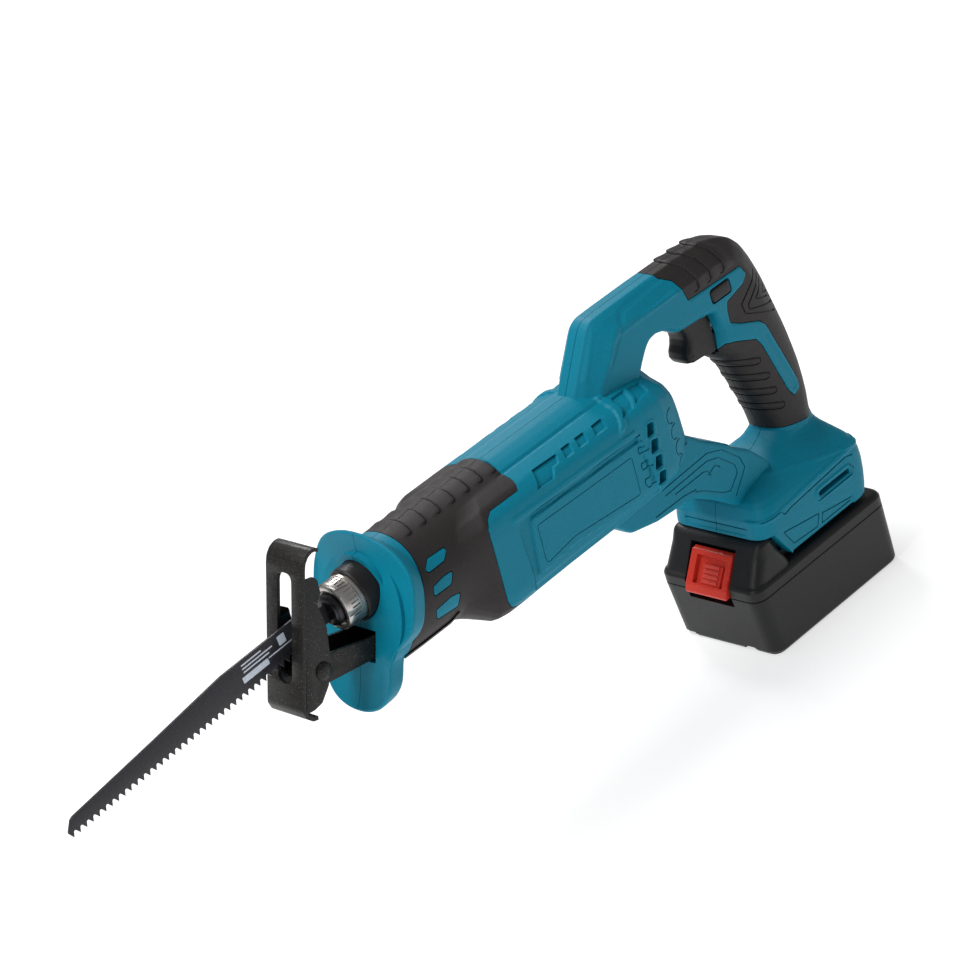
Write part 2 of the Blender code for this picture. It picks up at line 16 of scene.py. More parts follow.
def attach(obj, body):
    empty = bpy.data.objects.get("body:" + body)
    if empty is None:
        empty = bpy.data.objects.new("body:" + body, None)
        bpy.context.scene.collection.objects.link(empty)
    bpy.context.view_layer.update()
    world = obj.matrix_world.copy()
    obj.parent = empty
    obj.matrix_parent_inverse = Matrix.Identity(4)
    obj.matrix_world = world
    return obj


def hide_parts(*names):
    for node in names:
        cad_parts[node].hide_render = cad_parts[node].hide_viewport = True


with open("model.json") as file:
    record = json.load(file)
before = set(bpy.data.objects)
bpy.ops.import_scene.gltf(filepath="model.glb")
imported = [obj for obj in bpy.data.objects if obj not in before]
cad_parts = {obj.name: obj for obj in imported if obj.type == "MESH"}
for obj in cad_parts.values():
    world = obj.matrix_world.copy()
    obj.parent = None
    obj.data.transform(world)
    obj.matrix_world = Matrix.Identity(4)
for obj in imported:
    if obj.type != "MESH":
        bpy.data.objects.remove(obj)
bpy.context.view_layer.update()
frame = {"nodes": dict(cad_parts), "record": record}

MM = 0.001
RUBBER = 2.3                  # depth of the soft overmoulds
SHUT_GAP = 0.16               # half of the gap between mouldings
LINE_DEPTH = 0.7              # depth of the lines on the handle and the foot
HOUSING_LINE_DEPTH = 0.6      # depth of the lines on the motor housing
WINDOW_DEPTH = 1.5            # depth of the recesses along the top of the flank
STROKE_Z = 177.5              # height of the stroke axis
GRIP_Z, GRIP_R = 165.3, 32.0  # axis and radius of the front grip
MOTOR_Z = 166.0               # height of the motor's axis
GUARD_CENTRE = np.array([-286.2, 0.0, 159.3])
GUARD_RAKE = math.radians(21.8)
SHOE_RAKE = math.radians(22.2)
SHOE_SLOT = (-326.2, 0, 185.5)
SHOE_PIVOT = (-322.3, 159.7)
STROKE, CLAMP_PIN = (0, STROKE_Z), (-290, STROKE_Z)
BATTERY_FRONT, BATTERY_TOE, BATTERY_REAR = -57.0, -53.2, 56.6
BATTERY_HALF = 38.0
BATTERY_SPLIT, BATTERY_RIM = 37.0, 45.7


# Numbers and outlines

def ease(value, start, end):
    """0 before start, 1 after end, smooth in between."""
    t = np.clip((value - start) / (end - start), 0, 1)
    return t * t * (3 - 2 * t)


def edge_distance(points, start, edge):
    """Distance of points from a straight edge."""
    t = np.clip(((points - start) @ edge) / (edge @ edge), 0, 1)
    return np.linalg.norm(points - start - t[..., None] * edge, axis=-1)


def outline_distance(u, v, outline):
    """Distance of points from a closed outline, negative inside it."""
    points = np.stack([u, v], -1)
    best, inside = np.full(u.shape, 1e9), np.zeros(u.shape, bool)
    corners = np.array(outline, float)
    for a, b in zip(corners, np.roll(corners, -1, 0)):
        edge = b - a
        if not edge.any():
            continue
        best = np.minimum(best, edge_distance(points, a, edge))
        straddles = (a[1] > v) != (b[1] > v)
        rise = edge[1] if edge[1] else 1e-9
        inside ^= straddles & (u < a[0] + (v - a[1]) / rise * edge[0])
    return np.where(inside, -best, best)


def line_distance(u, v, line):
    """Distance of points from an open polyline."""
    points = np.stack([u, v], -1)
    best = np.full(u.shape, 1e9)
    corners = np.array(line, float)
    for a, b in zip(corners, corners[1:]):
        edge = b - a
        if edge.any():
            best = np.minimum(best, edge_distance(points, a, edge))
    return best


def inside_of(distance, edge):
    """1 well inside an outline, 0 outside it, with a soft edge."""
    return 1 - ease(distance, -edge, 0.0)


def groove(distance, width):
    """1 on a line, falling to 0 at half its width."""
    return 1 - ease(np.abs(distance), 0.15 * width, 0.5 * width)


def rounded(outline, radius, steps=5):
    """The outline with each corner turned into an arc."""
    corners = np.array(outline, float)
    made = []
    for before, here, after in zip(np.roll(corners, 1, 0), corners, np.roll(corners, -1, 0)):
        to_before, to_after = before - here, after - here
        a, b = to_before / np.linalg.norm(to_before), to_after / np.linalg.norm(to_after)
        half = math.acos(max(-1.0, min(1.0, float(a @ b)))) / 2
        reach = radius / math.tan(half) if half < math.radians(88) else 0.0
        reach = min(reach, 0.45 * np.linalg.norm(to_before), 0.45 * np.linalg.norm(to_after))
        start, end = here + a * reach, here + b * reach
        for i in range(steps + 1):
            t = i / steps
            made.append(tuple((1 - t) ** 2 * start + 2 * t * (1 - t) * here + t * t * end))
    return made


def resample(points, count, closed=True):
    """Evenly spaced points along a polyline."""
    points = np.array(points, float)
    if closed:
        points = np.vstack([points, points[:1]])
    lengths = np.concatenate([[0], np.cumsum(np.linalg.norm(np.diff(points, axis=0), axis=1))])
    wanted = np.linspace(0, lengths[-1], count, endpoint=not closed)
    return np.stack([np.interp(wanted, lengths, points[:, k]) for k in range(points.shape[1])], -1)


def softened(points, passes):
    """A closed line of points relaxed towards its neighbours."""
    for _ in range(passes):
        points = 0.5 * points + 0.25 * (np.roll(points, 1, 0) + np.roll(points, -1, 0))
    return points


def closed_half(half):
    """A closed section from its right half, given from the crown to the floor."""
    return np.vstack([half, half[1:-1][::-1] * [-1, 1]])


def across_of(tangent):
    """Unit vectors at a right angle to a plane line's tangents."""
    tangent = tangent / np.linalg.norm(tangent, axis=1, keepdims=True)
    return np.stack([tangent[:, 1], -tangent[:, 0]], -1)


def offset_of(points, distance):
    """Closely spaced points of an outline, pushed outwards by a distance."""
    after = np.roll(points, -1, 0)
    normal = across_of(after - np.roll(points, 1, 0))
    area = (points[:, 0] * after[:, 1] - after[:, 0] * points[:, 1]).sum()
    return points + normal * distance * (1 if area > 0 else -1)


def offset_outline(outline, distance):
    """An outline of few points pushed outwards by a distance."""
    return offset_of(resample(outline, max(40, len(outline) * 4)), distance)


def shrunk(section, middle, distance):
    """A section drawn in towards its middle by a distance."""
    if not distance:
        return section
    reach = np.linalg.norm(section - middle, axis=1, keepdims=True)
    return middle + (section - middle) * (1 - distance / reach)


def mirrored(profile):
    """A profile across Y from its first half, given from the outer end inwards."""
    return profile + [(-y, size) for y, size in profile[::-1]]


# Meshes

def piece_from(name, points, faces):
    mesh = bpy.data.meshes.new(name)
    mesh.from_pydata((np.asarray(points, float) * MM).tolist(), [], faces)
    shape = bmesh.new()
    shape.from_mesh(mesh)
    bmesh.ops.recalc_face_normals(shape, faces=shape.faces)
    shape.to_mesh(mesh)
    shape.free()
    obj = bpy.data.objects.new(name, mesh)
    bpy.context.scene.collection.objects.link(obj)
    return obj


def tube(name, rings, fan=False):
    """A closed solid through rings of points. The ends are flat faces, or fans round a middle point."""
    rings = np.asarray(rings, float)
    rows, cols, _ = rings.shape
    points = rings.reshape(-1, 3)
    index = np.arange(rows * cols).reshape(rows, cols)
    ahead = np.roll(index, -1, axis=1)
    faces = np.stack([index[:-1], ahead[:-1], ahead[1:], index[1:]], -1).reshape(-1, 4).tolist()
    if fan:
        points = np.vstack([points, rings[[0, -1]].mean(axis=1)])
        for row, middle in ((0, rows * cols), (rows - 1, rows * cols + 1)):
            faces += [[index[row, i], ahead[row, i], middle] for i in range(cols)]
    else:
        faces += [index[0].tolist(), index[-1].tolist()]
    return piece_from(name, points, faces)


def prism(name, outline, y0, y1):
    """An XZ outline extruded across Y."""
    return tube(name, [[(x, y, z) for x, z in outline] for y in (y0, y1)])


def slab(name, outline, z0, z1):
    """A plan outline extruded upwards."""
    return tube(name, [[(x, y, z) for x, y in outline] for z in (z0, z1)])


def layered(name, outline, profile):
    """An XZ outline drawn in at each (y, inset) of a profile."""
    return tube(name, [[(x, y, z) for x, z in offset_of(outline, -inset)] for y, inset in profile])


def box(name, low, high):
    (x0, y0, z0), (x1, y1, z1) = low, high
    return prism(name, [(x0, z0), (x1, z0), (x1, z1), (x0, z1)], y0, y1)


def turned(name, axis, centre, profile, segments=96):
    """A solid turned about an axis from (along, radius) pairs."""
    rings = []
    for along, radius in profile:
        ring = []
        for i in range(segments):
            turn = math.tau * i / segments
            a, b = centre[0] + radius * math.cos(turn), centre[1] + radius * math.sin(turn)
            ring.append({"X": (along, a, b), "Y": (a, along, b), "Z": (a, b, along)}[axis])
        rings.append(ring)
    return tube(name, rings, fan=True)


def bake(obj):
    """Applies the modifiers of an object."""
    graph = bpy.context.evaluated_depsgraph_get()
    mesh = bpy.data.meshes.new_from_object(obj.evaluated_get(graph))
    obj.modifiers.clear()
    obj.data = mesh
    return obj


def combine(obj, operation, others, keep=False):
    """Boolean of an object with others, which are then removed unless kept."""
    for other in others:
        before = len(obj.data.vertices)
        modifier = obj.modifiers.new(other.name, "BOOLEAN")
        modifier.operation, modifier.solver, modifier.object = operation, "MANIFOLD", other
        bake(obj)
        if len(obj.data.vertices) == before:
            print("Boolean changed nothing:", obj.name, operation, other.name)
        if not keep:
            bpy.data.objects.remove(other)
    return obj


def join(obj, *others):
    return combine(obj, "UNION", others)


def cut(obj, *others):
    return combine(obj, "DIFFERENCE", others)


def common(obj, other):
    return combine(obj, "INTERSECT", [other])


def copy_of(obj, name):
    made = obj.copy()
    made.data = obj.data.copy()
    made.name = name
    bpy.context.scene.collection.objects.link(made)
    return made


def grown(obj, distance):
    """Moves every face of a mesh outwards."""
    modifier = obj.modifiers.new("grow", "DISPLACE")
    modifier.strength, modifier.mid_level = distance * MM, 0.0
    return bake(obj)


def smooth(obj, angle=32):
    obj.data.shade_smooth()
    obj.data.set_sharp_from_angle(angle=math.radians(angle))
    return obj


def bevelled(obj, width, segments=3, angle=30):
    """Rounds the edges of a crisp piece."""
    modifier = obj.modifiers.new("edges", "BEVEL")
    modifier.width, modifier.segments = width * MM, segments
    modifier.limit_method, modifier.angle_limit = "ANGLE", math.radians(angle)
    modifier.harden_normals = False
    return smooth(bake(obj))


# Materials

def material(name, colour, roughness, metallic=0.0, coat=0.0):
    made = bpy.data.materials.new(name)
    made.use_nodes = True
    shader = made.node_tree.nodes["Principled BSDF"]
    shader.inputs["Base Color"].default_value = (*colour, 1.0)
    shader.inputs["Roughness"].default_value = roughness
    shader.inputs["Metallic"].default_value = metallic
    shader.inputs["Coat Weight"].default_value = coat
    return made


def node(look, kind, **settings):
    made = look.node_tree.nodes.new(kind)
    for key, value in settings.items():
        if key in made.inputs:
            made.inputs[key].default_value = value
        else:
            setattr(made, key, value)
    return made


def place_of(look):
    return node(look, "ShaderNodeTexCoord").outputs["Object"]


def noise_of(look, scale, detail=2.0, stretch=None):
    links = look.node_tree.links
    place = place_of(look)
    if stretch:
        mapping = node(look, "ShaderNodeMapping", Scale=stretch)
        links.new(place, mapping.inputs["Vector"])
        place = mapping.outputs["Vector"]
    noise = node(look, "ShaderNodeTexNoise", Scale=scale, Detail=detail)
    links.new(place, noise.inputs["Vector"])
    return noise.outputs["Fac"]


def ramp_of(look, value, stops):
    ramp = node(look, "ShaderNodeValToRGB")
    elements = ramp.color_ramp.elements
    while len(elements) < len(stops):
        elements.new(0.5)
    for element, (at, colour) in zip(elements, stops):
        element.position, element.color = at, (*colour, 1.0)
    look.node_tree.links.new(value, ramp.inputs["Fac"])
    return ramp.outputs["Color"]


def bump(look, height, strength, distance):
    made = node(look, "ShaderNodeBump", Strength=strength, Distance=distance)
    look.node_tree.links.new(height, made.inputs["Height"])
    shader = look.node_tree.nodes["Principled BSDF"]
    look.node_tree.links.new(made.outputs["Normal"], shader.inputs["Normal"])


def grained(name, dark, light, roughness, grain, depth, glint_and_flake_colour=None, metallic=0.0, coat=0.0, gloss=0.3):
    """A moulded surface: fine spark-eroded grain, faint mottling and an optional light speckle, which is real
    metal flake on a flaked coat and painted glints on plain plastic.
    """
    look = material(name, light, roughness, metallic, coat)
    links = look.node_tree.links
    shader = look.node_tree.nodes["Principled BSDF"]
    shader.inputs["Specular IOR Level"].default_value = gloss
    colour = ramp_of(look, noise_of(look, grain * 0.6, 3.0), [(0.35, dark), (0.65, light)])
    # Light speckle mixed into the base colour: painted glints on the teal plastic, real metal flake on the
    # powder coat.
    if glint_and_flake_colour:
        glint_and_flake_mask = ramp_of(look, noise_of(look, grain * 1.7, 1.0), [(0.70, (0, 0, 0)), (0.78, (1, 1, 1))])
        mix = node(look, "ShaderNodeMix", data_type="RGBA")
        links.new(glint_and_flake_mask, mix.inputs[0])
        links.new(colour, mix.inputs[6])
        mix.inputs[7].default_value = (*glint_and_flake_colour, 1.0)
        colour = mix.outputs[2]
    links.new(colour, shader.inputs["Base Color"])
    rough = node(look, "ShaderNodeMapRange")
    rough.inputs["To Min"].default_value = roughness - 0.06
    rough.inputs["To Max"].default_value = roughness + 0.08
    links.new(noise_of(look, grain * 0.2, 2.0), rough.inputs["Value"])
    links.new(rough.outputs["Result"], shader.inputs["Roughness"])
    bump(look, noise_of(look, grain, 2.0), 0.35, depth)
    return look


def brushed(name, colour, roughness, stretch, strength=0.12, dark=0.72):
    """Machined metal with fine tool marks."""
    look = material(name, colour, roughness, 1.0)
    links = look.node_tree.links
    shader = look.node_tree.nodes["Principled BSDF"]
    marks = noise_of(look, 900.0, 2.0, stretch)
    shade = tuple(dark * c for c in colour)
    links.new(ramp_of(look, marks, [(0.3, shade), (0.7, colour)]), shader.inputs["Base Color"])
    bump(look, marks, strength, 0.0001)
    return look


# The lighter teal speckle of the teal plastic is painted glints, the highlights of its grain.
TEAL = grained("teal_plastic", (0.0004, 0.175, 0.265), (0.0008, 0.215, 0.325), 0.48, 2600.0, 0.00012,
               glint_and_flake_colour=(0.03, 0.34, 0.44), gloss=0.17)
RUBBER_LOOK = grained("black_rubber", (0.018, 0.015, 0.015), (0.027, 0.023, 0.023), 0.55, 2400.0, 0.00012)
BLACK = grained("black_plastic", (0.009, 0.008, 0.008), (0.014, 0.013, 0.013), 0.42, 2400.0, 0.0001)
BATTERY_LOOK = grained("battery_plastic", (0.008, 0.008, 0.009), (0.013, 0.013, 0.014), 0.40, 2100.0, 0.0001)
RED = grained("red_plastic", (0.62, 0.030, 0.016), (0.74, 0.045, 0.025), 0.36, 1800.0, 0.00006)
STEEL = brushed("steel", (0.62, 0.60, 0.57), 0.30, (1.0, 0.05, 0.05))
COLLAR_STEEL = brushed("plated_steel", (0.60, 0.57, 0.54), 0.34, (1.0, 0.06, 0.06), 0.05, 0.85)
BLACK_STEEL = brushed("black_steel", (0.060, 0.060, 0.068), 0.40, (0.06, 1.0, 1.0), 0.15)
POWDER = grained("powder_coat", (0.006, 0.0055, 0.005), (0.012, 0.011, 0.010), 0.40, 1300.0, 0.0003,
                 glint_and_flake_colour=(0.30, 0.28, 0.26), coat=0.05, gloss=0.25)
BLADE_BODY = grained("blade_coating", (0.022, 0.022, 0.027), (0.032, 0.032, 0.039), 0.42, 2000.0, 0.00004)
BLADE_EDGE = brushed("ground_steel", (0.32, 0.31, 0.32), 0.35, (1.0, 0.2, 1.0), 0.05)
BLADE_PRINT = grained("blade_print", (0.55, 0.62, 0.72), (0.66, 0.72, 0.82), 0.45, 1500.0, 0.00003)
ALUMINIUM = grained("aluminium", (0.42, 0.42, 0.44), (0.55, 0.55, 0.57), 0.42, 1200.0, 0.0001, metallic=1.0)
BRONZE = grained("bronze", (0.34, 0.20, 0.08), (0.44, 0.27, 0.11), 0.4, 1200.0, 0.0001, metallic=1.0)
COPPER = brushed("copper", (0.70, 0.30, 0.15), 0.35, (0.05, 1.0, 1.0))
BOARD = grained("board", (0.010, 0.12, 0.05), (0.015, 0.16, 0.07), 0.45, 900.0, 0.0001)


def dress(obj, look, *others):
    obj.data.materials.clear()
    for one in (look, *others):
        obj.data.materials.append(one)
    return obj


# Motor housing and front grip: one skin swept along X

COLUMNS = 288


def body_half(top, bottom, half):
    """Right half of the motor housing's section: arch, crease, shoulder, side, floor."""
    line = [(0, 0), (5.5, 0.5), (11, 2.0), (15.6, 4.1), (16.8, 4.9), (22.5, 6.4), (28.3, 8.2), (32.0, 11.2),
            (34.4, 14.0), (35.4, 18.0), (36.0, 24.0), (36.0, 45.0)]
    right = [(y * half / 36.0, top - d) for y, d in line]
    floor = [(0, 14), (1.0, 8.5), (4.5, 4.4), (11, 1.7), (20, 0.4)]
    right += [(half - inset, bottom + lift) for inset, lift in floor] + [(0, bottom)]
    return np.array(right)


def body_ring(top, bottom, half):
    """The section resampled so that each column runs along the same feature of the housing."""
    right = resample(body_half(top, bottom, half), COLUMNS // 2 + 1, closed=False)
    return softened(closed_half(right), 3)


def grip_circle(ring):
    """The front grip's circle, its points at the same angles as those of a section."""
    turn = np.arctan2(ring[:, 0], ring[:, 1] - GRIP_Z)
    return np.stack([GRIP_R * np.sin(turn), GRIP_Z + GRIP_R * np.cos(turn)], -1)


PANEL = rounded([(-193.4, 174.2), (-102.3, 172.9), (-96.5, 136.0), (-96.5, 110.0), (-196.4, 110.0),
                 (-195.1, 141), (-195.4, 170.5)], 3.5)
PANEL_INSET = rounded([(-185.9, 171.5), (-100.2, 169.5), (-101.5, 139.0), (-118, 136.5), (-161.7, 141.5),
                       (-191.6, 138.5)], 2.0)
PANEL_LINE = [(-184.4, 146), (-183.7, 143.1), (-161.5, 146.2), (-111.2, 141.8), (-110.0, 163.9),
              (-183, 165.6), (-184.4, 146)]
TOP_WINDOWS = (
    [(-175.2, 182.2), (-169.6, 189.6), (-151.0, 189.3), (-154.3, 186.1), (-158.5, 185.9), (-162.8, 181.7)],
    [(-147.3, 189.6), (-140.3, 189.6), (-143.2, 185.7), (-149.7, 185.7)],
    [(-136.7, 189.6), (-129.3, 189.6), (-131.7, 185.7), (-139.2, 185.7)],
    [(-123.6, 189.6), (-115.1, 189.6), (-117.2, 185.7), (-126.5, 185.7)],
    [(-98.9, 191.7), (-87.8, 191.5), (-96.3, 185.3), (-107.3, 185.3)],
    [(-85.6, 191.5), (-73.6, 191.3), (-80.5, 186.3), (-93.9, 186.1)],
)
VENTS = [rounded([(x - 3.4, z - 3.6), (x + 2.4, z - 3.4), (x + 4.2, z + 2.8), (x - 0.6, z + 3.7)], 1.0)
         for x, z in ((-93.2, 171.2), (-93.6, 161.6), (-94.0, 151.8), (-94.4, 142.4))]
RIB_STATIONS = (-243.4, -232.5, -221.9, -211.2, -200.4, -190.6, -180.6)


def rib_bow(station, y):
    """Place along X of a rib over the top of the grip."""
    return station + 1.3 - 0.011 * y ** 2


def housing_rows():
    """Stations along X, with the housing's top, floor, half width and roundness at each."""
    stops = np.array([
        # x, top, floor, half width, share of the round grip section
        (-274.0, 197.3, 133.0, 32.0, 1.0),
        (-252.0, 197.3, 132.6, 32.0, 1.0),
        (-240.0, 197.3, 130.4, 32.2, 0.9),
        (-232.0, 197.3, 128.4, 32.8, 0.8),
        (-226.0, 197.3, 127.0, 34.0, 0.5),
        (-220.0, 197.3, 126.3, 35.2, 0.2),
        (-214.5, 197.3, 126.0, 36.0, 0.0),
        (-204.0, 197.3, 126.0, 36.0, 0.0),
        (-190.0, 197.4, 126.4, 36.0, 0.0),
        (-165.0, 197.4, 126.9, 36.0, 0.0),
        (-120.0, 197.4, 127.2, 36.0, 0.0),
        (-92.0, 196.9, 128.0, 35.8, 0.0),
        (-80.0, 195.6, 130.0, 34.8, 0.0),
        (-71.0, 193.0, 133.0, 32.2, 0.0),
        (-64.0, 188.6, 138.0, 27.5, 0.0),
        (-60.2, 183.0, 145.0, 20.0, 0.0),
    ])
    x = np.concatenate([np.arange(-274.0, -80.0, 0.8), np.arange(-80.0, -60.5, 0.55), [-60.2]])
    return x, [np.interp(x, stops[:, 0], stops[:, k]) for k in range(1, 5)]


def housing_detail(x, y, z):
    """Height of the mouldings on the motor housing's skin."""
    flank = ease(np.abs(y), 30.5, 34.0)
    side_wall = flank * ease(z, 128.5, 131.0) * (1 - ease(z, 179.5, 181.5))
    height = np.zeros_like(x)
    # Recessed side panel with a raised field inside it
    height -= 1.9 * inside_of(outline_distance(x, z, PANEL), 1.0) * side_wall
    height += 1.3 * inside_of(outline_distance(x, z, PANEL_INSET), 1.0) * side_wall
    # Raised rims round the vent slots
    for slot in VENTS:
        distance = outline_distance(x, z, slot)
        height += 0.6 * (1 - ease(np.abs(distance - 0.9), 0.2, 1.0)) * side_wall
    # Raised rail along the top of the flank, over the panel
    rail = line_distance(x, z, [(-196, 176.6), (-150, 176.0), (-104, 175.2)])
    height += 0.7 * (1 - ease(rail, 0.9, 1.9)) * flank
    # Arch band across the housing in front of the strut
    drop = 193.4 - np.clip(z, 165, 193.4)
    band = np.abs(x + 102.6 + 0.20 * drop + 0.035 * drop ** 2)
    crown = ease(z, 179.0, 181.0)
    height += 1.3 * (1 - ease(band, 1.9, 3.0)) * crown * ease(np.abs(y), 12.5, 14.5)
    # Crease between the arch and the shoulders
    crease = (1 - ease(np.abs(np.abs(y) - 16.8), 0.3, 1.3)) * ease(z, 188.0, 189.5)
    height -= 0.6 * crease * ease(x, -186, -181) * (1 - ease(x, -84, -76))
    # Steps across the top of the grip, each rising gently to the rear and dropping at its rib
    tops = (1 - ease(np.abs(y), 13.0, 14.6)) * ease(z, 180, 186)
    for station in RIB_STATIONS:
        bow = rib_bow(station, y)
        height += 0.75 * ease(x, bow - 8.5, bow - 0.4) * (1 - ease(x, bow - 0.2, bow + 0.8)) * tops
    return height


def displaced(name, rings, height):
    """A swept skin moved along its own normals by height(x, y, z)."""
    rings = np.asarray(rings, float)
    around = np.roll(rings, -1, 1) - np.roll(rings, 1, 1)
    along = np.gradient(rings, axis=0)
    normal = np.cross(around, along)
    length = np.linalg.norm(normal, axis=-1, keepdims=True)
    normal /= np.where(length > 1e-9, length, 1)
    outward = rings - rings.mean(axis=1, keepdims=True)
    if (normal * outward).sum() < 0:
        normal = -normal
    move = height(rings[..., 0], rings[..., 1], rings[..., 2])
    return tube(name, rings + normal * move[..., None])


def sheared_grip(x, z):
    """Leans the front end of the barrel back at the top, along the guard."""
    front = -281.0 + (z - 165.0) * 0.42
    reach = (-244.0 - front) / 30.0
    return np.where(x < -244, -244 + (x + 244) * reach, x)


# Height and station of the edge where the round grip starts to flare into the housing
FLARE = ([118, 141.3, 154.4, 170.2, 181.5, 188.8, 191.5, 192.6, 197.5],
         [-238.0, -235.8, -233.0, -232.4, -230.4, -225.4, -219.3, -212.0, -212.0])


def housing_rings(shrink=0.0):
    """Sections of the motor housing and the barrel of the front grip."""
    x, (top, floor, half, roundness) = housing_rows()
    rings = []
    for i in range(len(x)):
        ring = body_ring(top[i], floor[i], half[i])
        edge = np.interp(ring[:, 1], FLARE[0], FLARE[1])
        share = np.clip((edge + 15.0 - x[i]) / 15.0, 0, 1)[:, None] if roundness[i] < 1 else 1.0
        section = grip_circle(ring) * share + ring * (1 - share)
        section = shrunk(section, np.array([0, GRIP_Z]), shrink)
        rings.append(np.column_stack([sheared_grip(x[i], section[:, 1]), section]))
    return np.array(rings)


# Right half of the hand guard's face, as (across, up) from the guard's centre
GUARD_HALF = [(0, 50.5), (8, 50.2), (14, 49), (20, 47.4), (26, 44.8), (31, 41.4), (35, 36.6),
              (37.6, 31.6), (39, 26), (39.4, 17), (38.8, 8), (36.6, 2.5), (32.6, -2.6), (28.4, -7),
              (25.6, -12), (24.6, -18), (25.0, -26), (24, -31.5), (21, -36), (17, -39.6), (12, -42),
              (6, -43.5), (0, -43.8)]
# The guard's skin from the middle of its front over the rim to its back, as (depth, inset) pairs
GUARD_PROFILE = ((2.8, 39.0), (2.7, 30.0), (2.5, 20.0), (2.2, 13.0), (1.7, 8.5), (1.1, 5.0), (0.6, 3.0),
                 (0.2, 1.8), (0.0, 1.1), (0.15, 0.45), (0.7, 0.05), (1.6, 0.0), (4.0, 0.8), (7.0, 1.9),
                 (10.2, 3.2), (11.6, 4.4), (12.4, 6.0), (13.0, 9.0), (13.4, 14.0), (13.5, 22.0), (13.6, 34.0))


def guard():
    outline = softened(closed_half(resample(GUARD_HALF, 110, closed=False)), 6)
    lean = np.array([math.sin(GUARD_RAKE), 0, math.cos(GUARD_RAKE)])
    back = np.array([math.cos(GUARD_RAKE), 0, -math.sin(GUARD_RAKE)])
    profile = np.array(GUARD_PROFILE)
    steps = np.linspace(0, len(profile) - 1, 90)
    depths = np.interp(steps, range(len(profile)), profile[:, 0])
    insets = np.interp(steps, range(len(profile)), profile[:, 1])
    rings = []
    for depth, inset in zip(depths, insets):
        scale = 1 - inset / 42
        y, s = outline[:, 0] * scale, outline[:, 1] * scale
        wrap = 4.2 * np.clip(np.abs(y) / 36, 0, 1) ** 2 * ease(s, -34, 4) - 1.6 * ease(s, 26, 52)
        point = GUARD_CENTRE + np.outer(s, lean) + np.outer(depth + wrap, back)
        point[:, 1] += y
        rings.append(point)
    return tube("guard_skin", rings, fan=True)


# D-handle: one skin swept from the strut's foot, over the top bar and down the grip

HANDLE_STATIONS = np.array([
    # outer x, z, inner x, z, half width, share of the round grip section
    (-124, 182, -82, 174, 16, 0), (-112, 198, -72.5, 184, 16, 0), (-101, 213, -65.7, 193.1, 16, 0),
    (-92.4, 224.6, -61, 198.3, 16, 0), (-90, 227.2, -59, 200.2, 16, 0), (-86, 229.1, -56.2, 202, 16, 0),
    (-75, 229.4, -51.3, 202.7, 16, 0), (-58, 229.5, -45.2, 201, 16, 0), (-46, 229.6, -40.5, 197.6, 16, 0),
    (-36, 229.5, -36, 194.6, 16, 0), (-24, 229.4, -25, 193.8, 16, 0), (-10, 229.3, -16, 193.2, 16, 0),
    (4, 228.9, -11, 192.5, 16, 0), (14.1, 226.2, -9.2, 191.2, 16, 0.05), (24.0, 221.4, -9, 188, 16, 0.15),
    (30.3, 214.1, -9, 184.5, 16, 0.3), (34.4, 205.3, -9, 181, 16, 0.45), (37.8, 195.4, -9, 178, 16.1, 0.6),
    (40.0, 187.5, -10.4, 172.5, 16.2, 0.7), (41.9, 178, -11.9, 168.5, 16.3, 0.8),
    (43.8, 168.5, -8.8, 162.8, 16.5, 0.9), (45.6, 159.2, -4.8, 159.0, 16.5, 1),
    (46.9, 150, -1.3, 153.2, 16.5, 1),
    (48, 140, 2.6, 142, 16.5, 1), (48.7, 132, 5.2, 133, 16.5, 1), (48.6, 122, 8.5, 123, 16.5, 1),
    (48.1, 113, 11.4, 113, 16.4, 0.9), (46.9, 104, 13.2, 104, 16.2, 0.8), (46.9, 96, 13.6, 96, 16, 0.7),
])


def handle_rings(shrink=0.0, columns=200):
    """Sections of the handle, blended from a flat-sided strut to an oval grip."""
    stations = HANDLE_STATIONS
    middles = (stations[:, 0:2] + stations[:, 2:4]) / 2
    lengths = np.concatenate([[0], np.cumsum(np.linalg.norm(np.diff(middles, axis=0), axis=1))])
    rows = int(lengths[-1] / 0.8)
    wanted = np.linspace(0, lengths[-1], rows)
    values = np.stack([np.interp(wanted, lengths, stations[:, k]) for k in range(6)], -1)
    for _ in range(6):
        values[1:-1] = 0.5 * values[1:-1] + 0.25 * (values[:-2] + values[2:])
    turn = math.tau * np.arange(columns) / columns
    rings = []
    for ox, oz, ix, iz, half, roundness in values:
        outer, inner = np.array([ox, oz]), np.array([ix, iz])
        depth = np.linalg.norm(outer - inner)
        flat = [(0, 0), (6, 0), (10, 3.9), (half, 11.9), (half, depth - 3.5), (half - 2.6, depth - 0.9),
                (half - 6, depth), (0, depth)]
        right = resample(flat, columns // 2 + 1, closed=False)
        section = softened(closed_half(right), 1)
        # The round section at the same polar angles
        around = np.arctan2(section[:, 0] / half, 1 - 2 * section[:, 1] / depth)
        power = 2.25
        c, s = np.cos(around), np.sin(around)
        reach = (np.abs(c) ** power + np.abs(s) ** power) ** (-1 / power)
        oval = np.stack([half * reach * s, depth / 2 * (1 - reach * c)], -1)
        section = section * (1 - roundness) + oval * roundness
        section = shrunk(section, np.array([0, depth / 2]), shrink)
        xz = outer + np.outer(section[:, 1] / depth, inner - outer)
        rings.append(np.column_stack([xz[:, 0], section[:, 0], xz[:, 1]]))
    return np.array(rings)


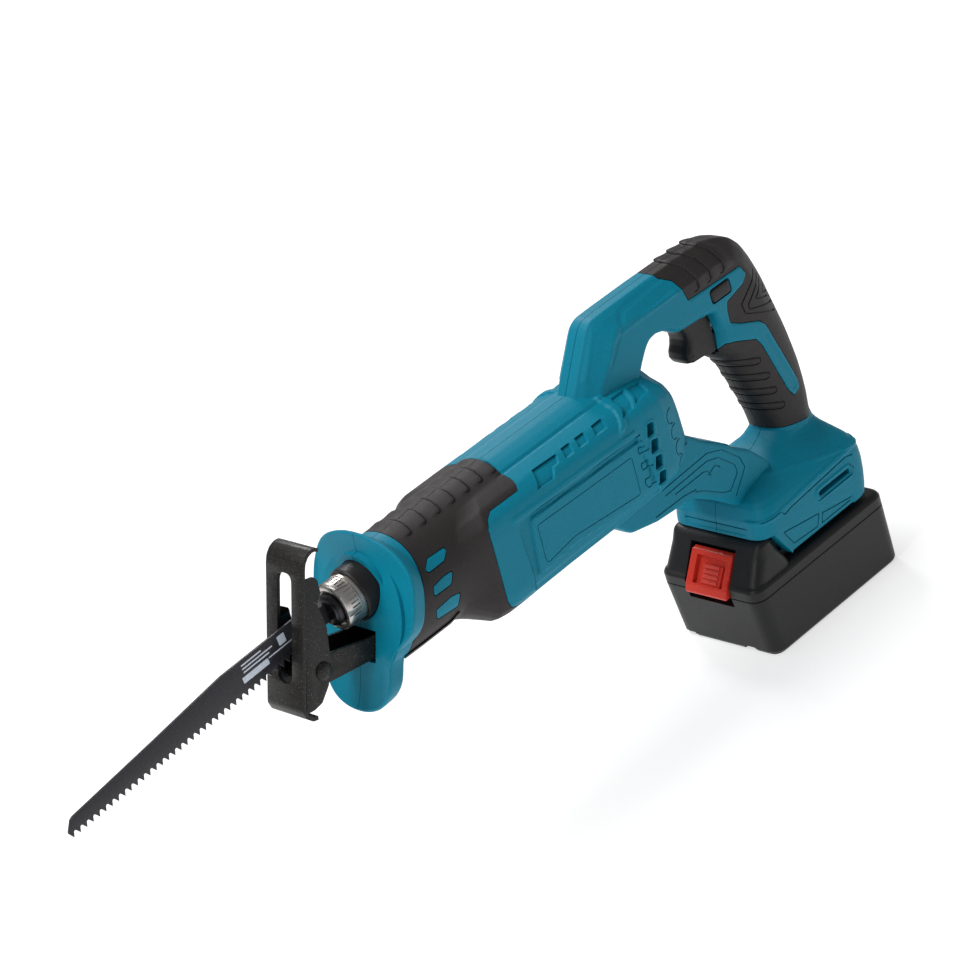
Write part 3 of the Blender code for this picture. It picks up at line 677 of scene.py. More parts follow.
TEAL_STRIP = [(-25, 209.7), (17.6, 208), (20.8, 201.3), (17.3, 197.9), (0.4, 193.7), (0.8, 180.5),
              (23.1, 170.9), (37.2, 123.2), (33.8, 118.4), (28, 119), (15.7, 163), (-4.5, 171.6), (-7.7, 169)]
HANDLE_RUBBER = TEAL_STRIP + [(-22, 163), (-22, 113), (-2, 108), (17.4, 104.6), (48.6, 98.6), (64, 98.2),
                              (64, 242), (-36.6, 242), (-36.6, 228.3), (-30.5, 225), (-28.1, 222.6)]
CHEVRONS = (-23.0, -12.7, -2.0)
CHEVRON_LEAN = ([0, 6, 10, 16, 17], [0, 0.6, 5.0, 7.5, 7.7])
FINGER_GROOVES = ((12.6, 151.0), (16.1, 139.7), (18.3, 129.0), (20.9, 118.0))


def handle_height(x, y, z):
    """Mouldings on the D-handle."""
    height = np.zeros_like(x)
    side = ease(np.abs(y), 12.0, 14.5)
    # Facets and rails along the strut and the top bar
    for line, width, lift in (([(-104.6, 203.1), (-88.7, 226.7)], 2.2, 0.4),
                              ([(-99.4, 194.6), (-71.7, 223), (-67.9, 225.7), (-34.2, 227.1)], 2.0, -0.4),
                              ([(-90, 206), (-81.2, 217.5), (-31.8, 218.2)], 1.8, 0.5)):
        height += lift * groove(line_distance(x, z, line), width * 2) * ease(np.abs(y), 7.0, 9.5)
    # Chevron steps over the top of the soft cover
    crown = ease(z, 210.5, 212.5)
    for start in CHEVRONS:
        edge = start + np.interp(np.abs(y), *CHEVRON_LEAN)
        height += 1.0 * ease(x, edge, edge + 0.9) * (1 - ease(x, edge + 1.2, edge + 10.3)) * crown
    for cx, cz in ((37.0, 178.4), (38.2, 174.6), (39.2, 171.1)):
        height -= 0.8 * inside_of(np.hypot(x - cx, z - cz) - 1.2, 0.6) * ease(np.abs(y), 4, 7)
    # Pads between the finger grooves round the front of the grip
    for ex, ez in FINGER_GROOVES:
        level = ez + (ex - x) * 0.30
        height += 0.5 * inside_of(np.hypot(np.clip(x - ex, 0, None), z - level) - 1.9, 1.3) * (x < ex + 3)
    # Lip round the teal side strip
    strip = outline_distance(x, z, rounded(TEAL_STRIP, 2.5))
    height += 0.45 * inside_of(strip, 1.2) * side
    field = [(19.5, 163.5), (22.0, 164.5), (34.2, 124.0), (32.4, 121.8), (29.6, 122.6)]
    height -= 0.45 * inside_of(outline_distance(x, z, field), 0.8) * side
    return height


def sunk(height, depth):
    """The height function of a floor that lies under a skin."""
    return lambda x, y, z: height(x, y, z) - depth


def plain(x, y, z):
    """The height function of a surface with no mouldings."""
    return np.zeros_like(x)


# Brace, foot and battery: stacked sections

def brace():
    """Brace between the motor housing and the foot, with engraved lines on its sides."""
    outline = [(-124, 150), (-124, 134), (-121.6, 123.3), (-112, 113.6), (-92.6, 109.3), (-76.8, 108.1),
               (-63, 106.8), (-50.8, 98.4), (-40, 90.5), (-34, 84), (0, 84), (-5, 98), (-15, 110),
               (-26.6, 118.6), (-28, 121), (-40, 130), (-45.6, 133.9), (-58, 145), (-72, 158), (-110, 158)]
    edge = [(-19.5, 2.6), (-19.3, 1.4), (-18.6, 0.6), (-17.4, 0.1), (-15.5, 0.0)]
    flat = [(y, 0.0) for y in np.linspace(-13, 13, 12)]
    layers = edge + flat + [(-y, inset) for y, inset in edge[::-1]]
    skin = layered("brace_skin", resample(rounded(outline, 9), 420), layers)
    lines = (
        [(-82.8, 120.4), (-47.6, 121.9), (-39.2, 119.3), (-29.2, 108.7), (-28.8, 103.6), (-37.1, 96.6),
         (-42.6, 98.6), (-56.1, 108), (-62, 110.5)],
        [(-84, 124.4), (-46, 126.0), (-35.6, 122.2), (-24.2, 110.3), (-22.6, 103.3), (-34.4, 91.6)],
        [(-76, 117.2), (-52, 117.6), (-49.4, 116.6), (-47.6, 112.8)],
        [(-49.4, 114.0), (-43.0, 116.6), (-39.6, 113.6)],
        [(-93.3, 113.1), (-70, 112.9), (-60.6, 111.4)],
    )
    for line in lines:
        for cutter in both_sides(ribbon(line, 0.7), 18.9, 26):
            cut(skin, cutter)
    return skin


def plan_ring(x0, x1, half, corner, z, count=360):
    """Rounded rectangle in plan."""
    line = rounded([(x0, -half), (x1, -half), (x1, half), (x0, half)], corner, 12)
    plan = resample(line, count)
    return np.column_stack([plan, np.full(count, z)])


def stacked(name, levels, step, height):
    """A solid through rounded rectangles given as (z, x0, x1, half width, corner)."""
    levels = np.array(levels, float)
    heights = np.arange(levels[0, 0], levels[-1, 0] + 1e-6, step)
    rings = [plan_ring(*[np.interp(z, levels[:, 0], levels[:, k]) for k in (1, 2, 3, 4)], z) for z in heights]
    return displaced(name, rings, height)


FOOT_SLOT = rounded([(10, 67.8), (36.3, 68.0), (36.3, 70.9), (10, 70.7)], 1.2)


def foot():
    """Foot over the battery rails, with the neck of the grip rising from its rear."""
    levels = [(49.0, -37.5, 47.0, 35.4, 9), (50.2, -38.8, 48.6, 36.3, 10), (55, -39.3, 50.6, 36.4, 11),
              (62, -39.6, 52.6, 36.5, 12), (70, -38.4, 53.6, 36.4, 12), (76, -36.8, 53.4, 36.3, 12),
              (79.5, -35.2, 52.8, 35.9, 12), (82.5, -33.8, 52.0, 34.6, 12), (85.5, -31.6, 50.8, 32.2, 12),
              (88, -28.2, 49.6, 28.6, 12), (90.5, -22.0, 48.4, 24.6, 12), (93, -12.5, 47.5, 20.6, 13),
              (95.5, -3.0, 46.9, 17.8, 14), (98, 4.5, 46.5, 16.0, 14.5), (100.5, 9.5, 46.3, 15.0, 14),
              (103, 13, 46.1, 14.2, 13.6), (106, 15.5, 45.8, 13.4, 13), (112, 16, 45.6, 13.0, 12.5)]

    def height(x, y, z):
        flank = ease(np.abs(y), 33.0, 35.0) * (1 - ease(z, 77, 80))
        lift = np.zeros_like(x)
        ridge = 76.7 + (x + 21.5) * 0.067
        lift += 0.8 * (1 - ease(np.abs(z - ridge), 0.7, 1.9)) * ease(np.abs(y), 20, 26)
        slot = outline_distance(x, z, FOOT_SLOT)
        lift += 0.7 * (1 - ease(np.abs(slot - 2.0), 0.4, 1.4)) * flank
        lift -= 2.6 * inside_of(slot, 0.7) * flank
        lower = [(-25.5, 66.5), (7.5, 60.9), (34.5, 55.8), (34.5, 47), (-19.0, 47)]
        lift -= 0.7 * inside_of(outline_distance(x, z, lower), 1.0) * flank
        front = 1 - ease(x, -37.5, -33.5)
        lift -= 0.6 * inside_of(np.abs(z - 71) - 3.2, 1.0) * front * (1 - ease(np.abs(y), 22, 24))
        lift += 0.6 * (1 - ease(np.abs(z - 64.6), 0.4, 1.5)) * front
        shelf = 92.2 - (x + 11.3) * 0.2
        lift += 0.6 * (1 - ease(np.abs(z - shelf), 0.4, 1.4)) * ease(np.abs(y), 12, 16) * ease(x, -24, -14)
        return lift

    skin = stacked("foot_skin", levels, 0.55, height)
    floor = stacked("foot_floor", levels, 0.55, sunk(height, LINE_DEPTH))
    lines = []
    for line in ([(-22.5, 63.6), (6.2, 58.8), (3.0, 52.2), (-17.4, 53.4), (-22.5, 63.2)],
                 [(9.6, 58.2), (6.6, 52.2), (31.9, 52.2)], [(8.4, 57.6), (33.0, 53.6)],
                 [(-35, 76.2), (-21.5, 76.7), (-18.6, 73.2), (-13, 74.5), (36, 78.0), (42, 76.6)],
                 [(7.6, 66.2), (37.4, 66.4), (40.0, 69.2), (36.8, 73.0)]):
        lines += both_sides(ribbon(line, 0.7), 24, 45)
    lines.append(box("front_line", (-60, -24, 71.4), (-30, 24, 72.0)))
    engraved(skin, floor, lines)
    notch = [(-60, 40), (-20.5, 40), (-20.5, 49.0), (-30.5, 66.5), (-60, 66.5)]
    cut(skin, prism("foot_front_notch", notch, -50, 50))
    return skin


def battery_height(x, y, z):
    lift = np.zeros_like(x)
    # Two slots low on the front
    front = 1 - ease(x, -49.5, -47.5)
    for centre in (30.0, -16.0):
        lift -= 2.2 * inside_of(np.abs(y - centre) - 4.2, 0.8) * (1 - ease(z, 2.0, 2.6)) * front
    return lift


def battery_cases():
    """Lower and upper case, parted on a line round the sides."""
    def level(z, inset, corner):
        return z, BATTERY_FRONT + inset, BATTERY_REAR - inset, BATTERY_HALF - inset, corner

    lower_levels = [(0, BATTERY_TOE + 1.2, BATTERY_REAR - 1.6, BATTERY_HALF - 1.8, 6.4),
                    (0.6, BATTERY_TOE + 0.9, BATTERY_REAR - 1.0, BATTERY_HALF - 1.0, 8.2),
                    (2.0, BATTERY_TOE - 0.3, BATTERY_REAR - 0.2, BATTERY_HALF - 0.2, 9),
                    level(BATTERY_SPLIT - 0.4, 0, 9), level(BATTERY_SPLIT, 0.3, 8.8)]
    lower = stacked("battery_lower_look", lower_levels, 0.4, battery_height)
    upper_levels = [level(BATTERY_SPLIT + 0.2, 0.3, 8.8), level(BATTERY_SPLIT + 0.5, 0, 9),
                    level(42.6, 0, 9), level(44.2, 0.8, 8.6), level(45.2, 2.2, 8), level(BATTERY_RIM, 4.0, 7)]
    upper = stacked("battery_upper_look", upper_levels, 0.27, plain)
    block = [(44, -56.4, -21.5, 37.0, 9), (45.4, -54.8, -21.5, 36.4, 9), (56, -47.6, -26.2, 35.4, 9),
             (63.6, -42.4, -30.4, 34.2, 7.5), (65.0, -41.0, -31.2, 33.4, 6), (65.8, -39.4, -31.8, 32.2, 5)]
    join(upper, stacked("front_block", block, 0.4, plain))
    join(upper, box("rail_block", (-38, -28, 44), (40, 28, 60)))
    for y0, y1 in ((-32, -25), (25, 32)):
        cut(upper, box("rail_groove", (-30, y0, 50), (45, y1, 54)))
    for y in (-10, 10):
        cut(upper, box("terminal_slot", (-6, y - 1.6, 50), (45, y + 1.6, 70)))
    cut(lower, prism("cells_low", [(-43, 2.2), (50.5, 2.2), (50.5, 60), (-47.6, 60), (-47.6, 9.5)], -34, 34))
    cut(upper, box("cells_high", (-47.6, -34, 30), (50.5, 34, 40.6)))
    pocket = rounded([(-70, 31.0), (-50.2, 31.0), (-50.2, 38.0), (-42.0, 49.4), (-39.8, 52.8), (-39.8, 60.4),
                      (-44, 61.2), (-70, 61.2)], 0.5)
    cut(lower, prism("button_pocket_low", pocket, -17.2, 17.2))
    cut(upper, prism("button_pocket_high", pocket, -17.2, 17.2))
    return dress(smooth(lower), BATTERY_LOOK), dress(smooth(upper), BATTERY_LOOK)


def release_button():
    """Red button: a frame round a recessed field with grip ribs."""
    outline = rounded([(-59.6, 36.5), (-60.2, 38.0), (-58.6, 42.0), (-46.6, 58.0), (-43.2, 58.4),
                       (-42.6, 57.2), (-53.4, 41.8), (-53.4, 38.4), (-50.7, 38.4), (-50.7, 36.5)], 1.2, 6)
    profile = mirrored([(-15.7, 1.0), (-15.5, 0.4), (-15.0, 0.05), (-14.2, 0)])
    button = layered("release_button_look", resample(outline, 220), profile)
    slope = Vector((-46.6 + 58.6, 0, 58.0 - 42.0)).normalized()
    out = Vector((-slope.z, 0, slope.x))
    origin = Vector((-58.6, 0, 42.0))

    def along(a, b):
        point = origin + slope * a + out * b
        return point.x, point.z

    field = rounded([along(1.2, 5), along(1.2, -2.4), along(17.4, -2.4), along(17.4, 5)], 0.8)
    cut(button, prism("button_field", field, -12.2, 10.4))
    pad = rounded([along(1.0, -2.8), along(1.0, -0.6), along(12.6, -0.9), along(13.8, -2.8)], 0.6)
    join(button, prism("button_pad", pad, -9.8, 5.4))
    for i in range(4):
        a = 2.2 + i * 2.9
        rib = rounded([along(a, -2.2), along(a, -0.1), along(a + 1.0, 0.3), along(a + 1.8, -0.1),
                       along(a + 1.8, -2.2)], 0.4)
        join(button, prism("button_rib", rib, -7.8, 3.4))
    return dress(bevelled(button, 0.35), RED)


# Engraved lines

def ribbon(line, width, count=90):
    """Closed outline of a line drawn with a given width."""
    points = resample(line, count, closed=False)
    across = across_of(np.gradient(points, axis=0)) * width / 2
    return np.vstack([points + across, (points - across)[::-1]])


def engraved(target, floor, cutters):
    """Cuts shapes into a skin down to a floor that lies just under it."""
    tool = cutters[0]
    join(tool, *cutters[1:])
    cut(tool, floor)
    cut(target, tool)


def both_sides(outline, y0, y1):
    return [prism("line", outline, -y1, -y0), prism("line", outline, y0, y1)]


def housing_lines():
    """Lines of the motor housing: panel edges, hooks by the vents and arcs at the rear."""
    made = []
    for line, width in (
        (PANEL_LINE, 0.45),
        ([(-100.5, 172.4), (-193.0, 173.7), (-194.9, 170.5), (-194.9, 141), (-196.0, 134)], 1.0),
        ([(-99.8, 165.2), (-103.6, 166.2), (-104.6, 164.4), (-104.2, 162.6), (-97.5, 162.0)], 0.9),
        ([(-99.8, 156.2), (-104.6, 157.0), (-105.7, 154.8), (-104.9, 153.2), (-97.7, 152.4)], 0.9),
        ([(-100.2, 147.0), (-105.6, 147.4), (-106.3, 144.6), (-104.4, 141.9), (-98, 141.6)], 0.9),
    ):
        made += both_sides(ribbon(line, width), 30, 45)
    for middle in (168.3, 158.6, 149.0, 139.4):
        arc = [(-72.6, middle + 4.4), (-76.0, middle + 4.0), (-78.2, middle + 1.8), (-78.6, middle - 0.6),
               (-77.6, middle - 2.8), (-74.4, middle - 3.9)]
        made += both_sides(ribbon(arc, 0.7), 20, 45)
    return made


def grip_lines():
    """Rib lines over the top of the grip, drawn in plan and hooked forward at their ends."""
    made = []
    for station in RIB_STATIONS:
        bow = [(rib_bow(station, y), y) for y in np.linspace(-13.4, 13.4, 19)]
        ends = [[(bow[k][0] - 0.9, bow[k][1] * 1.05), (bow[k][0] - 2.2, bow[k][1] * 1.06),
                 (bow[k][0] - 3.2, bow[k][1] * 1.02)] for k in (0, -1)]
        line = ends[0][::-1] + bow + ends[1]
        made.append(slab("rib_line", ribbon(line, 0.5), 185, 205))
    return made


def handle_lines():
    """Lines of the soft cover on the handle: chevrons, V-shaped grooves and finger pads."""
    made = []
    for start in CHEVRONS:
        half = [(start + np.interp(y, *CHEVRON_LEAN), y) for y in np.linspace(0, 18, 19)]
        line = [(x, -y) for x, y in half[:0:-1]] + half
        made.append(slab("chevron", ribbon(line, 0.6), 212.4, 240))
        foot_x = start + 7.6
        hook = [(foot_x, 213.2), (foot_x - 0.3, 212.0), (foot_x - 1.6, 211.3), (foot_x - 3.4, 211.6)]
        made += both_sides(ribbon(hook, 0.6), 10, 20)
    for line, width in (([(29.6, 199.4), (10.8, 187.3), (11.9, 181.1), (37, 169.4)], 0.9),
                        ([(31.4, 195.7), (15.6, 184.6), (15.6, 181.9), (37, 175.0)], 0.9),
                        ([(32.6, 192.4), (22.3, 184.8), (34.0, 180.0)], 0.9),
                        ([(34.5, 187.6), (30.0, 184.4), (36.0, 182.0)], 0.8),
                        ([(42.4, 162), (41.6, 158.5), (41.4, 153.3), (44.4, 134), (47.2, 121.5)], 0.8)):
        made += both_sides(ribbon(line, width), 3, 24)
    for ex, ez in FINGER_GROOVES:
        pad = [(ex - 26, ez + 2.2 + 7.8), (ex - 1.4, ez + 2.4), (ex + 0.6, ez + 1.4), (ex + 1.1, ez),
               (ex + 0.5, ez - 1.5), (ex - 1.4, ez - 2.0), (ex - 26, ez - 2.1 + 7.8)]
        made += [prism("pad_line", ribbon(pad, 0.75), -24, 24)]
    return made


# Casing

RUBBER_GRIP = [(-296, 118), (-283.0, 133), (-278.5, 140.2), (-274.3, 154.2), (-263.8, 165.8), (-258, 178.4),
               (-255.7, 185), (-253.4, 191.8), (-253.2, 205), (-180.4, 205), (-180.8, 191), (-183.2, 187.1),
               (-206.5, 187.1), (-211.5, 184.4), (-214.2, 180.2), (-216.5, 139.2), (-214.6, 134.0),
               (-208, 131.4), (-188, 129.6), (-179, 126.6), (-176, 118)]
GRIP_WINDOWS = (
    [(-253.8, 180.1), (-248.7, 183.6), (-237.2, 183.2), (-237, 181.9), (-241.5, 178.8), (-252.5, 178.6)],
    [(-254.5, 171.4), (-246.3, 172.5), (-240, 172.2), (-244, 166.8), (-256.3, 166.9)],
    [(-257.4, 159), (-246.4, 160.2), (-240.1, 158.9), (-242.4, 151.7), (-257.6, 153.4)],
)
# Place of each housing screw, as (x, z)
SCREWS = ((-80, 209), (-62, 220), (-104, 117), (-50, 110), (-14, 87), (36, 88), (34, 102))


def soft_cover(name, skin, core, outline):
    """Overmould cut from a skin inside an outline, and the room that the hard moulding leaves for it."""
    plan = prism(name + "_plan", offset_outline(outline, -SHUT_GAP), -60, 60)
    cover = common(copy_of(skin, name), plan)
    cut(cover, copy_of(core, name + "_core"))
    wider = prism(name + "_room", offset_outline(outline, SHUT_GAP), -60, 60)
    space = grown(common(copy_of(skin, name + "_space"), wider), 0.25)
    cut(space, core)
    return cover, space


def side_of(name, y0, y1):
    """All that lies between y0 and y1, its faces in small cells so that every cut face stays small."""
    heights = np.linspace(20, 260, 25)
    rings = []
    for x in np.linspace(-340, 90, 44):
        rings.append([(x, y0, z) for z in heights] + [(x, y1, z) for z in heights[::-1]])
    return tube(name, rings)


def halves(obj, names, look):
    """Parts a moulding on its middle plane."""
    made = []
    for name, y0, y1 in zip(names, (-70, SHUT_GAP), (-SHUT_GAP, 70)):
        half = common(copy_of(obj, name), side_of(name + "_side", y0, y1))
        made.append(dress(smooth(half), look))
    bpy.data.objects.remove(obj)
    return made


def inner_rooms():
    """Cavities of the casing: nose, gears, motor, switch, rails, vents and screws."""
    def bore(name, centre, profile):
        return turned(name, "X", centre, profile, 64)

    nose = (0, STROKE_Z)
    rooms = [
        bore("nose_opening", nose, [(-300, 15.7), (-268, 15.5)]),
        bore("nose_bore", nose, [(-270, 15.4), (-200, 15.4)]),
        bore("gear_cover_room", (0, 168.3), [(-208.3, 25.4), (-131.5, 25.4)]),
        bore("motor_room", (0, MOTOR_Z), [(-131.8, 27.0), (-74, 27.0)]),
        bore("rear_bearing_seat", (0, MOTOR_Z), [(-75, 9.5), (-65, 9.5)]),
        box("rail_channel", (-45, -28.5, 40), (42, 28.5, 60.8)),
        box("foot_cavity", (-31, -30, 60), (40, 30, 79.5)),
        box("switch_room", (9.6, -11.4, 164.5), (27.4, 11.4, 196)),
        box("spring_room", (-3, -7, 174), (11, 7, 190)),
        box("trigger_mouth", (-40, -9.2, 167.0), (-1.2, 9.2, 194.4)),
        prism("lock_slot", rounded([(-9.6, 197.8), (7.0, 197.8), (7.0, 206.9), (-9.6, 206.9)], 2.6), -40, 40),
        prism("strut_slot", [(-300, 143.2), (-262, 142.4), (-262, 154.6), (-300, 161.4)], -12.0, 12.0),
    ]
    gear = [(32.6, 168.4), (32.6, 146.5), (26.4, 136.6)]
    ring = gear + [(-y, z) for y, z in reversed(gear)]
    rooms.append(tube("gear_room", [[(x, y, z) for y, z in ring] for x in (-208.3, -131.5)]))
    rooms += [prism("vent", slot, -50, 50) for slot in VENTS]
    rooms.append(prism("foot_slot", FOOT_SLOT, -50, 50))
    for x, z in SCREWS:
        rooms.append(turned("screw_bore", "Y", (x, z), [(4.0, 3.4), (50, 3.4)], 40))
    return rooms


def casing():
    """Housing halves with their soft covers."""
    rings = housing_rings()
    body = displaced("body_skin", rings, housing_detail)
    floor = displaced("body_floor", rings, sunk(housing_detail, HOUSING_LINE_DEPTH))
    deep = displaced("body_deep_floor", rings, sunk(housing_detail, WINDOW_DEPTH))
    cutters = []
    for window in TOP_WINDOWS:
        cutters += both_sides(rounded(window, 0.7), 19.5, 45)
    engraved(body, deep, cutters)
    engraved(body, floor, housing_lines() + grip_lines())
    core = tube("body_core", housing_rings(RUBBER))
    grip, grip_room = soft_cover("grip_cover", body, core, RUBBER_GRIP)
    for window in GRIP_WINDOWS:
        island = rounded(window, 1.2)
        cut(grip, prism("window", offset_outline(island, 0.55), -50, 50))
        cut(grip_room, prism("window_island", island, -50, 50))
    cut(body, grip_room)
    bow = rounded([(-280, 141.3), (-265.3, 140.8), (-246, 141.4), (-239.5, 146), (-241.5, 146.5),
                   (-247, 143.6), (-265.3, 143.2), (-280, 143.5)], 0.8)
    for side in (-1, 1):
        rib = prism("grip_bow", bow, side * 18, side * 31)
        limit = turned("bow_limit", "X", (0, GRIP_Z), [(-290, GRIP_R + 0.9), (-230, GRIP_R + 0.9)], 128)
        join(grip, common(rib, limit))

    plate = guard()
    cut(grip, grown(copy_of(plate, "guard_clear"), 0.55))

    rings = handle_rings()
    handle = displaced("handle_skin", rings, handle_height)
    floor = displaced("handle_floor", rings, sunk(handle_height, LINE_DEPTH))
    engraved(handle, floor, handle_lines())
    inner = tube("handle_core", handle_rings(RUBBER))
    cover, cover_room = soft_cover("handle_cover", handle, inner, HANDLE_RUBBER)
    cut(handle, cover_room)

    join(body, plate, handle, brace(), foot())
    join(body, turned("nose_boss", "X", (0, STROKE_Z), [(-274, 18.4), (-262, 19)]))
    through_rubber = ("nose", "strut", "switch", "spring", "trigger", "lock", "screw")
    for cavity in inner_rooms():
        if cavity.name.startswith(through_rubber):
            for soft in (grip, cover):
                if touches(soft, cavity):
                    combine(soft, "DIFFERENCE", [cavity], keep=True)
        cut(body, cavity)
    cut(cover, box("trigger_gap", (-60, -60, 166), (-8.6, 60, 200)))
    for whole, look, nodes in ((body, TEAL, ("left_housing", "right_housing")),
                               (grip, RUBBER_LOOK, ("front_grip_left", "front_grip_right")),
                               (cover, RUBBER_LOOK, ("handle_overmould_left", "handle_overmould_right"))):
        for half, node_name in zip(halves(whole, [name + "_look" for name in nodes], look), nodes):
            stand_for(half, node_name)


def touches(a, b):
    """Whether the boxes round two meshes meet."""
    def limits(obj):
        points = np.array([vertex.co for vertex in obj.data.vertices])
        return points.min(0), points.max(0)

    (a0, a1), (b0, b1) = limits(a), limits(b)
    return bool((a0 < b1).all() and (b0 < a1).all())


def body_of(node_name):
    """The CAD body that a node belongs to."""
    bodies = frame["record"]["behaviour"]["bodies"]
    return next(body for body, nodes in bodies.items() if node_name in nodes)


def stand_for(obj, node_name):
    """Shows this piece in place of a CAD node, on the node's own body."""
    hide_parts(node_name)
    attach(obj, body_of(node_name))
    return obj


# Moving parts

def trigger_look():
    """Trigger with rounded edges and a stem that reaches back to its spring."""
    face = [(-8.7, 169.2), (-19.8, 168.6), (-25.6, 169.0), (-29.6, 170.6), (-31.0, 173.6), (-30.2, 177.2),
            (-28.0, 180.6), (-26.8, 184.0), (-27.2, 187.4), (-29.0, 190.6), (-31.0, 193.6), (-8.7, 193.6)]
    base = resample(rounded(face, 1.6, 6), 260)
    rings = []
    for y, inset in mirrored([(-8.6, 4.2), (-8.5, 3.2), (-8.2, 2.2), (-7.5, 1.3), (-6.4, 0.6), (-5, 0.2),
                              (-2.5, 0.0)]):
        ring = offset_of(base, -inset)
        share = ease(-base[:, 0], 14.0, 20.0)[:, None] * ease(193.5 - base[:, 1], 0.0, 4.0)[:, None]
        ring = ring * share + base * (1 - share)
        rings.append([(x, y, z) for x, z in ring])
    trigger = tube("trigger_look", rings)
    join(trigger, turned("trigger_stem", "X", (0, 182), [(-12, 4.0), (1.0, 4.0)], 48))
    return dress(smooth(trigger, 40), BLACK)


def lock_off_look():
    """Slide button that passes through the handle and stands out further on the right side."""
    profile = [(-16.9, 1.2), (-16.7, 0.5), (-16.0, 0.0), (18.7, 0.0), (19.2, 0.35), (19.4, 0.9)]
    base = resample(rounded([(-8.9, 198.5), (6.3, 198.5), (6.3, 206.2), (-8.9, 206.2)], 2.2, 6), 160)
    button = layered("lock_off_look", base, profile)
    return dress(bevelled(button, 0.25, 2), BLACK)


def collar_look():
    """Blade clamp collar: a chamfered front ring, a fluted middle and a smooth band at the rear."""
    profile = [(-296.0, 11.4), (-295.9, 11.9), (-295.4, 12.6), (-294.4, 13.1), (-293.4, 13.3), (-286.9, 13.3),
               (-286.7, 12.7), (-286.3, 12.7), (-286.1, 13.35), (-275.0, 13.35), (-274.5, 13.0),
               (-274.2, 12.5)]
    collar = turned("collar_look", "X", STROKE, profile, 240)
    bore = [(-297, 10.6), (-294.6, 10.2), (-294.0, 9.35), (-272, 9.35)]
    cut(collar, turned("collar_bore", "X", STROKE, bore, 96))
    cut(collar, turned("collar_room", "X", STROKE, [(-286, 11.8), (-272, 11.8)], 96))
    flutes = []
    for i in range(36):
        # Every sixth flute is a wide one that opens at the front
        start, width = (-292.4, 0.5) if i % 6 else (-296.4, 1.9)
        outline = rounded([(start, -width), (-287.4, -0.5), (-287.4, 0.5), (start, width)], 0.2)
        flute = prism("flute", outline, 12.3, 15)
        flute.data.transform(Matrix.Rotation(math.tau * (i + 0.5) / 36, 4, "X"))
        flute.data.transform(Matrix.Translation((0, 0, STROKE_Z * MM)))
        flutes.append(flute)
    cut(collar, *flutes)
    return dress(smooth(collar, 28), COLLAR_STEEL)


def clamp_core_look():
    """Core of the clamp, slotted for the blade's tang and drilled for the pin."""
    profile = [(-300, 6.6), (-299.8, 7.2), (-299.2, 7.6), (-298.4, 8.7), (-297.6, 9.0), (-276.4, 9.0)]
    core = turned("clamp_core_look", "X", STROKE, profile, 120)
    cut(core, box("core_slot", (-305, -1.05, STROKE_Z - 6.2), (-282, 1.05, STROKE_Z + 6.2)))
    cut(core, turned("core_pin", "Y", CLAMP_PIN, [(-12, 2.4), (12, 2.4)], 48))
    return dress(smooth(core), BLACK_STEEL)


def seal_look():
    """Black boss that the blade clamp collar runs back into."""
    profile = [(-283.8, 14.1), (-283.7, 14.6), (-283.2, 14.95), (-282.4, 15.1), (-262.4, 15.1)]
    seal = turned("seal_look", "X", STROKE, profile, 160)
    cut(seal, turned("seal_mouth", "X", STROKE, [(-285, 13.75), (-273.8, 13.75)], 120))
    cut(seal, turned("seal_bore", "X", STROKE, [(-276, 9.6), (-272.4, 8.5), (-260, 8.5)], 96))
    return dress(smooth(seal), BLACK)


BLADE_TILT = math.radians(2.5)
BLADE_TIP = np.array([-478.5, 160.9])
BLADE_ALONG = np.array([math.cos(BLADE_TILT), math.sin(BLADE_TILT)])
BLADE_UP = np.array([-math.sin(BLADE_TILT), math.cos(BLADE_TILT)])


def blade_point(a, b):
    """The XZ place of a point given along the tooth edge from the tip, and up from it."""
    return tuple(BLADE_TIP + BLADE_ALONG * a + BLADE_UP * b)


def blade_look():
    """Tapered blade with six teeth to the inch and a bright tooth edge."""
    pitch, depth, length = 25.4 / 6, 3.1, 165.5
    teeth = []
    for i in range(int(length / pitch)):
        a = i * pitch
        teeth += [(a, 0.0), (a + 0.55, 1.4), (a + 0.95, depth - 0.5), (a + 1.5, depth),
                  (a + 2.2, depth - 0.15), (a + 3.2, depth - 1.5)]
    back = [(length + 3, 2.4), (length + 6.5, 4.0), (length + 6.5, 17.6), (length + 3.5, 18.8), (108, 19.1),
            (60, 14.6), (3.7, 9.9), (1.8, 9.0), (-1.6, 4.2), (-1.8, 3.2), (-1.2, 2.2)]
    outline = [blade_point(a, b) for a, b in teeth + back]
    blade = prism("blade_look", outline, -0.62, 0.62)
    join(blade, box("tang", (-312, -0.6, STROKE_Z - 5.2), (-283, 0.6, STROKE_Z + 5.2)))
    cut(blade, turned("tang_hole", "Y", CLAMP_PIN, [(-12, 2.4), (12, 2.4)], 48))
    blade = bevelled(blade, 0.10, 2, 50)
    dress(blade, BLADE_BODY, BLADE_EDGE)
    for face in blade.data.polygons:
        middle = np.array([face.center.x, face.center.z]) / MM - BLADE_TIP
        in_teeth = middle @ BLADE_UP < depth - 0.2 and middle @ BLADE_ALONG < length
        if in_teeth and abs(face.normal.y) < 0.7:
            face.material_index = 1
    return blade


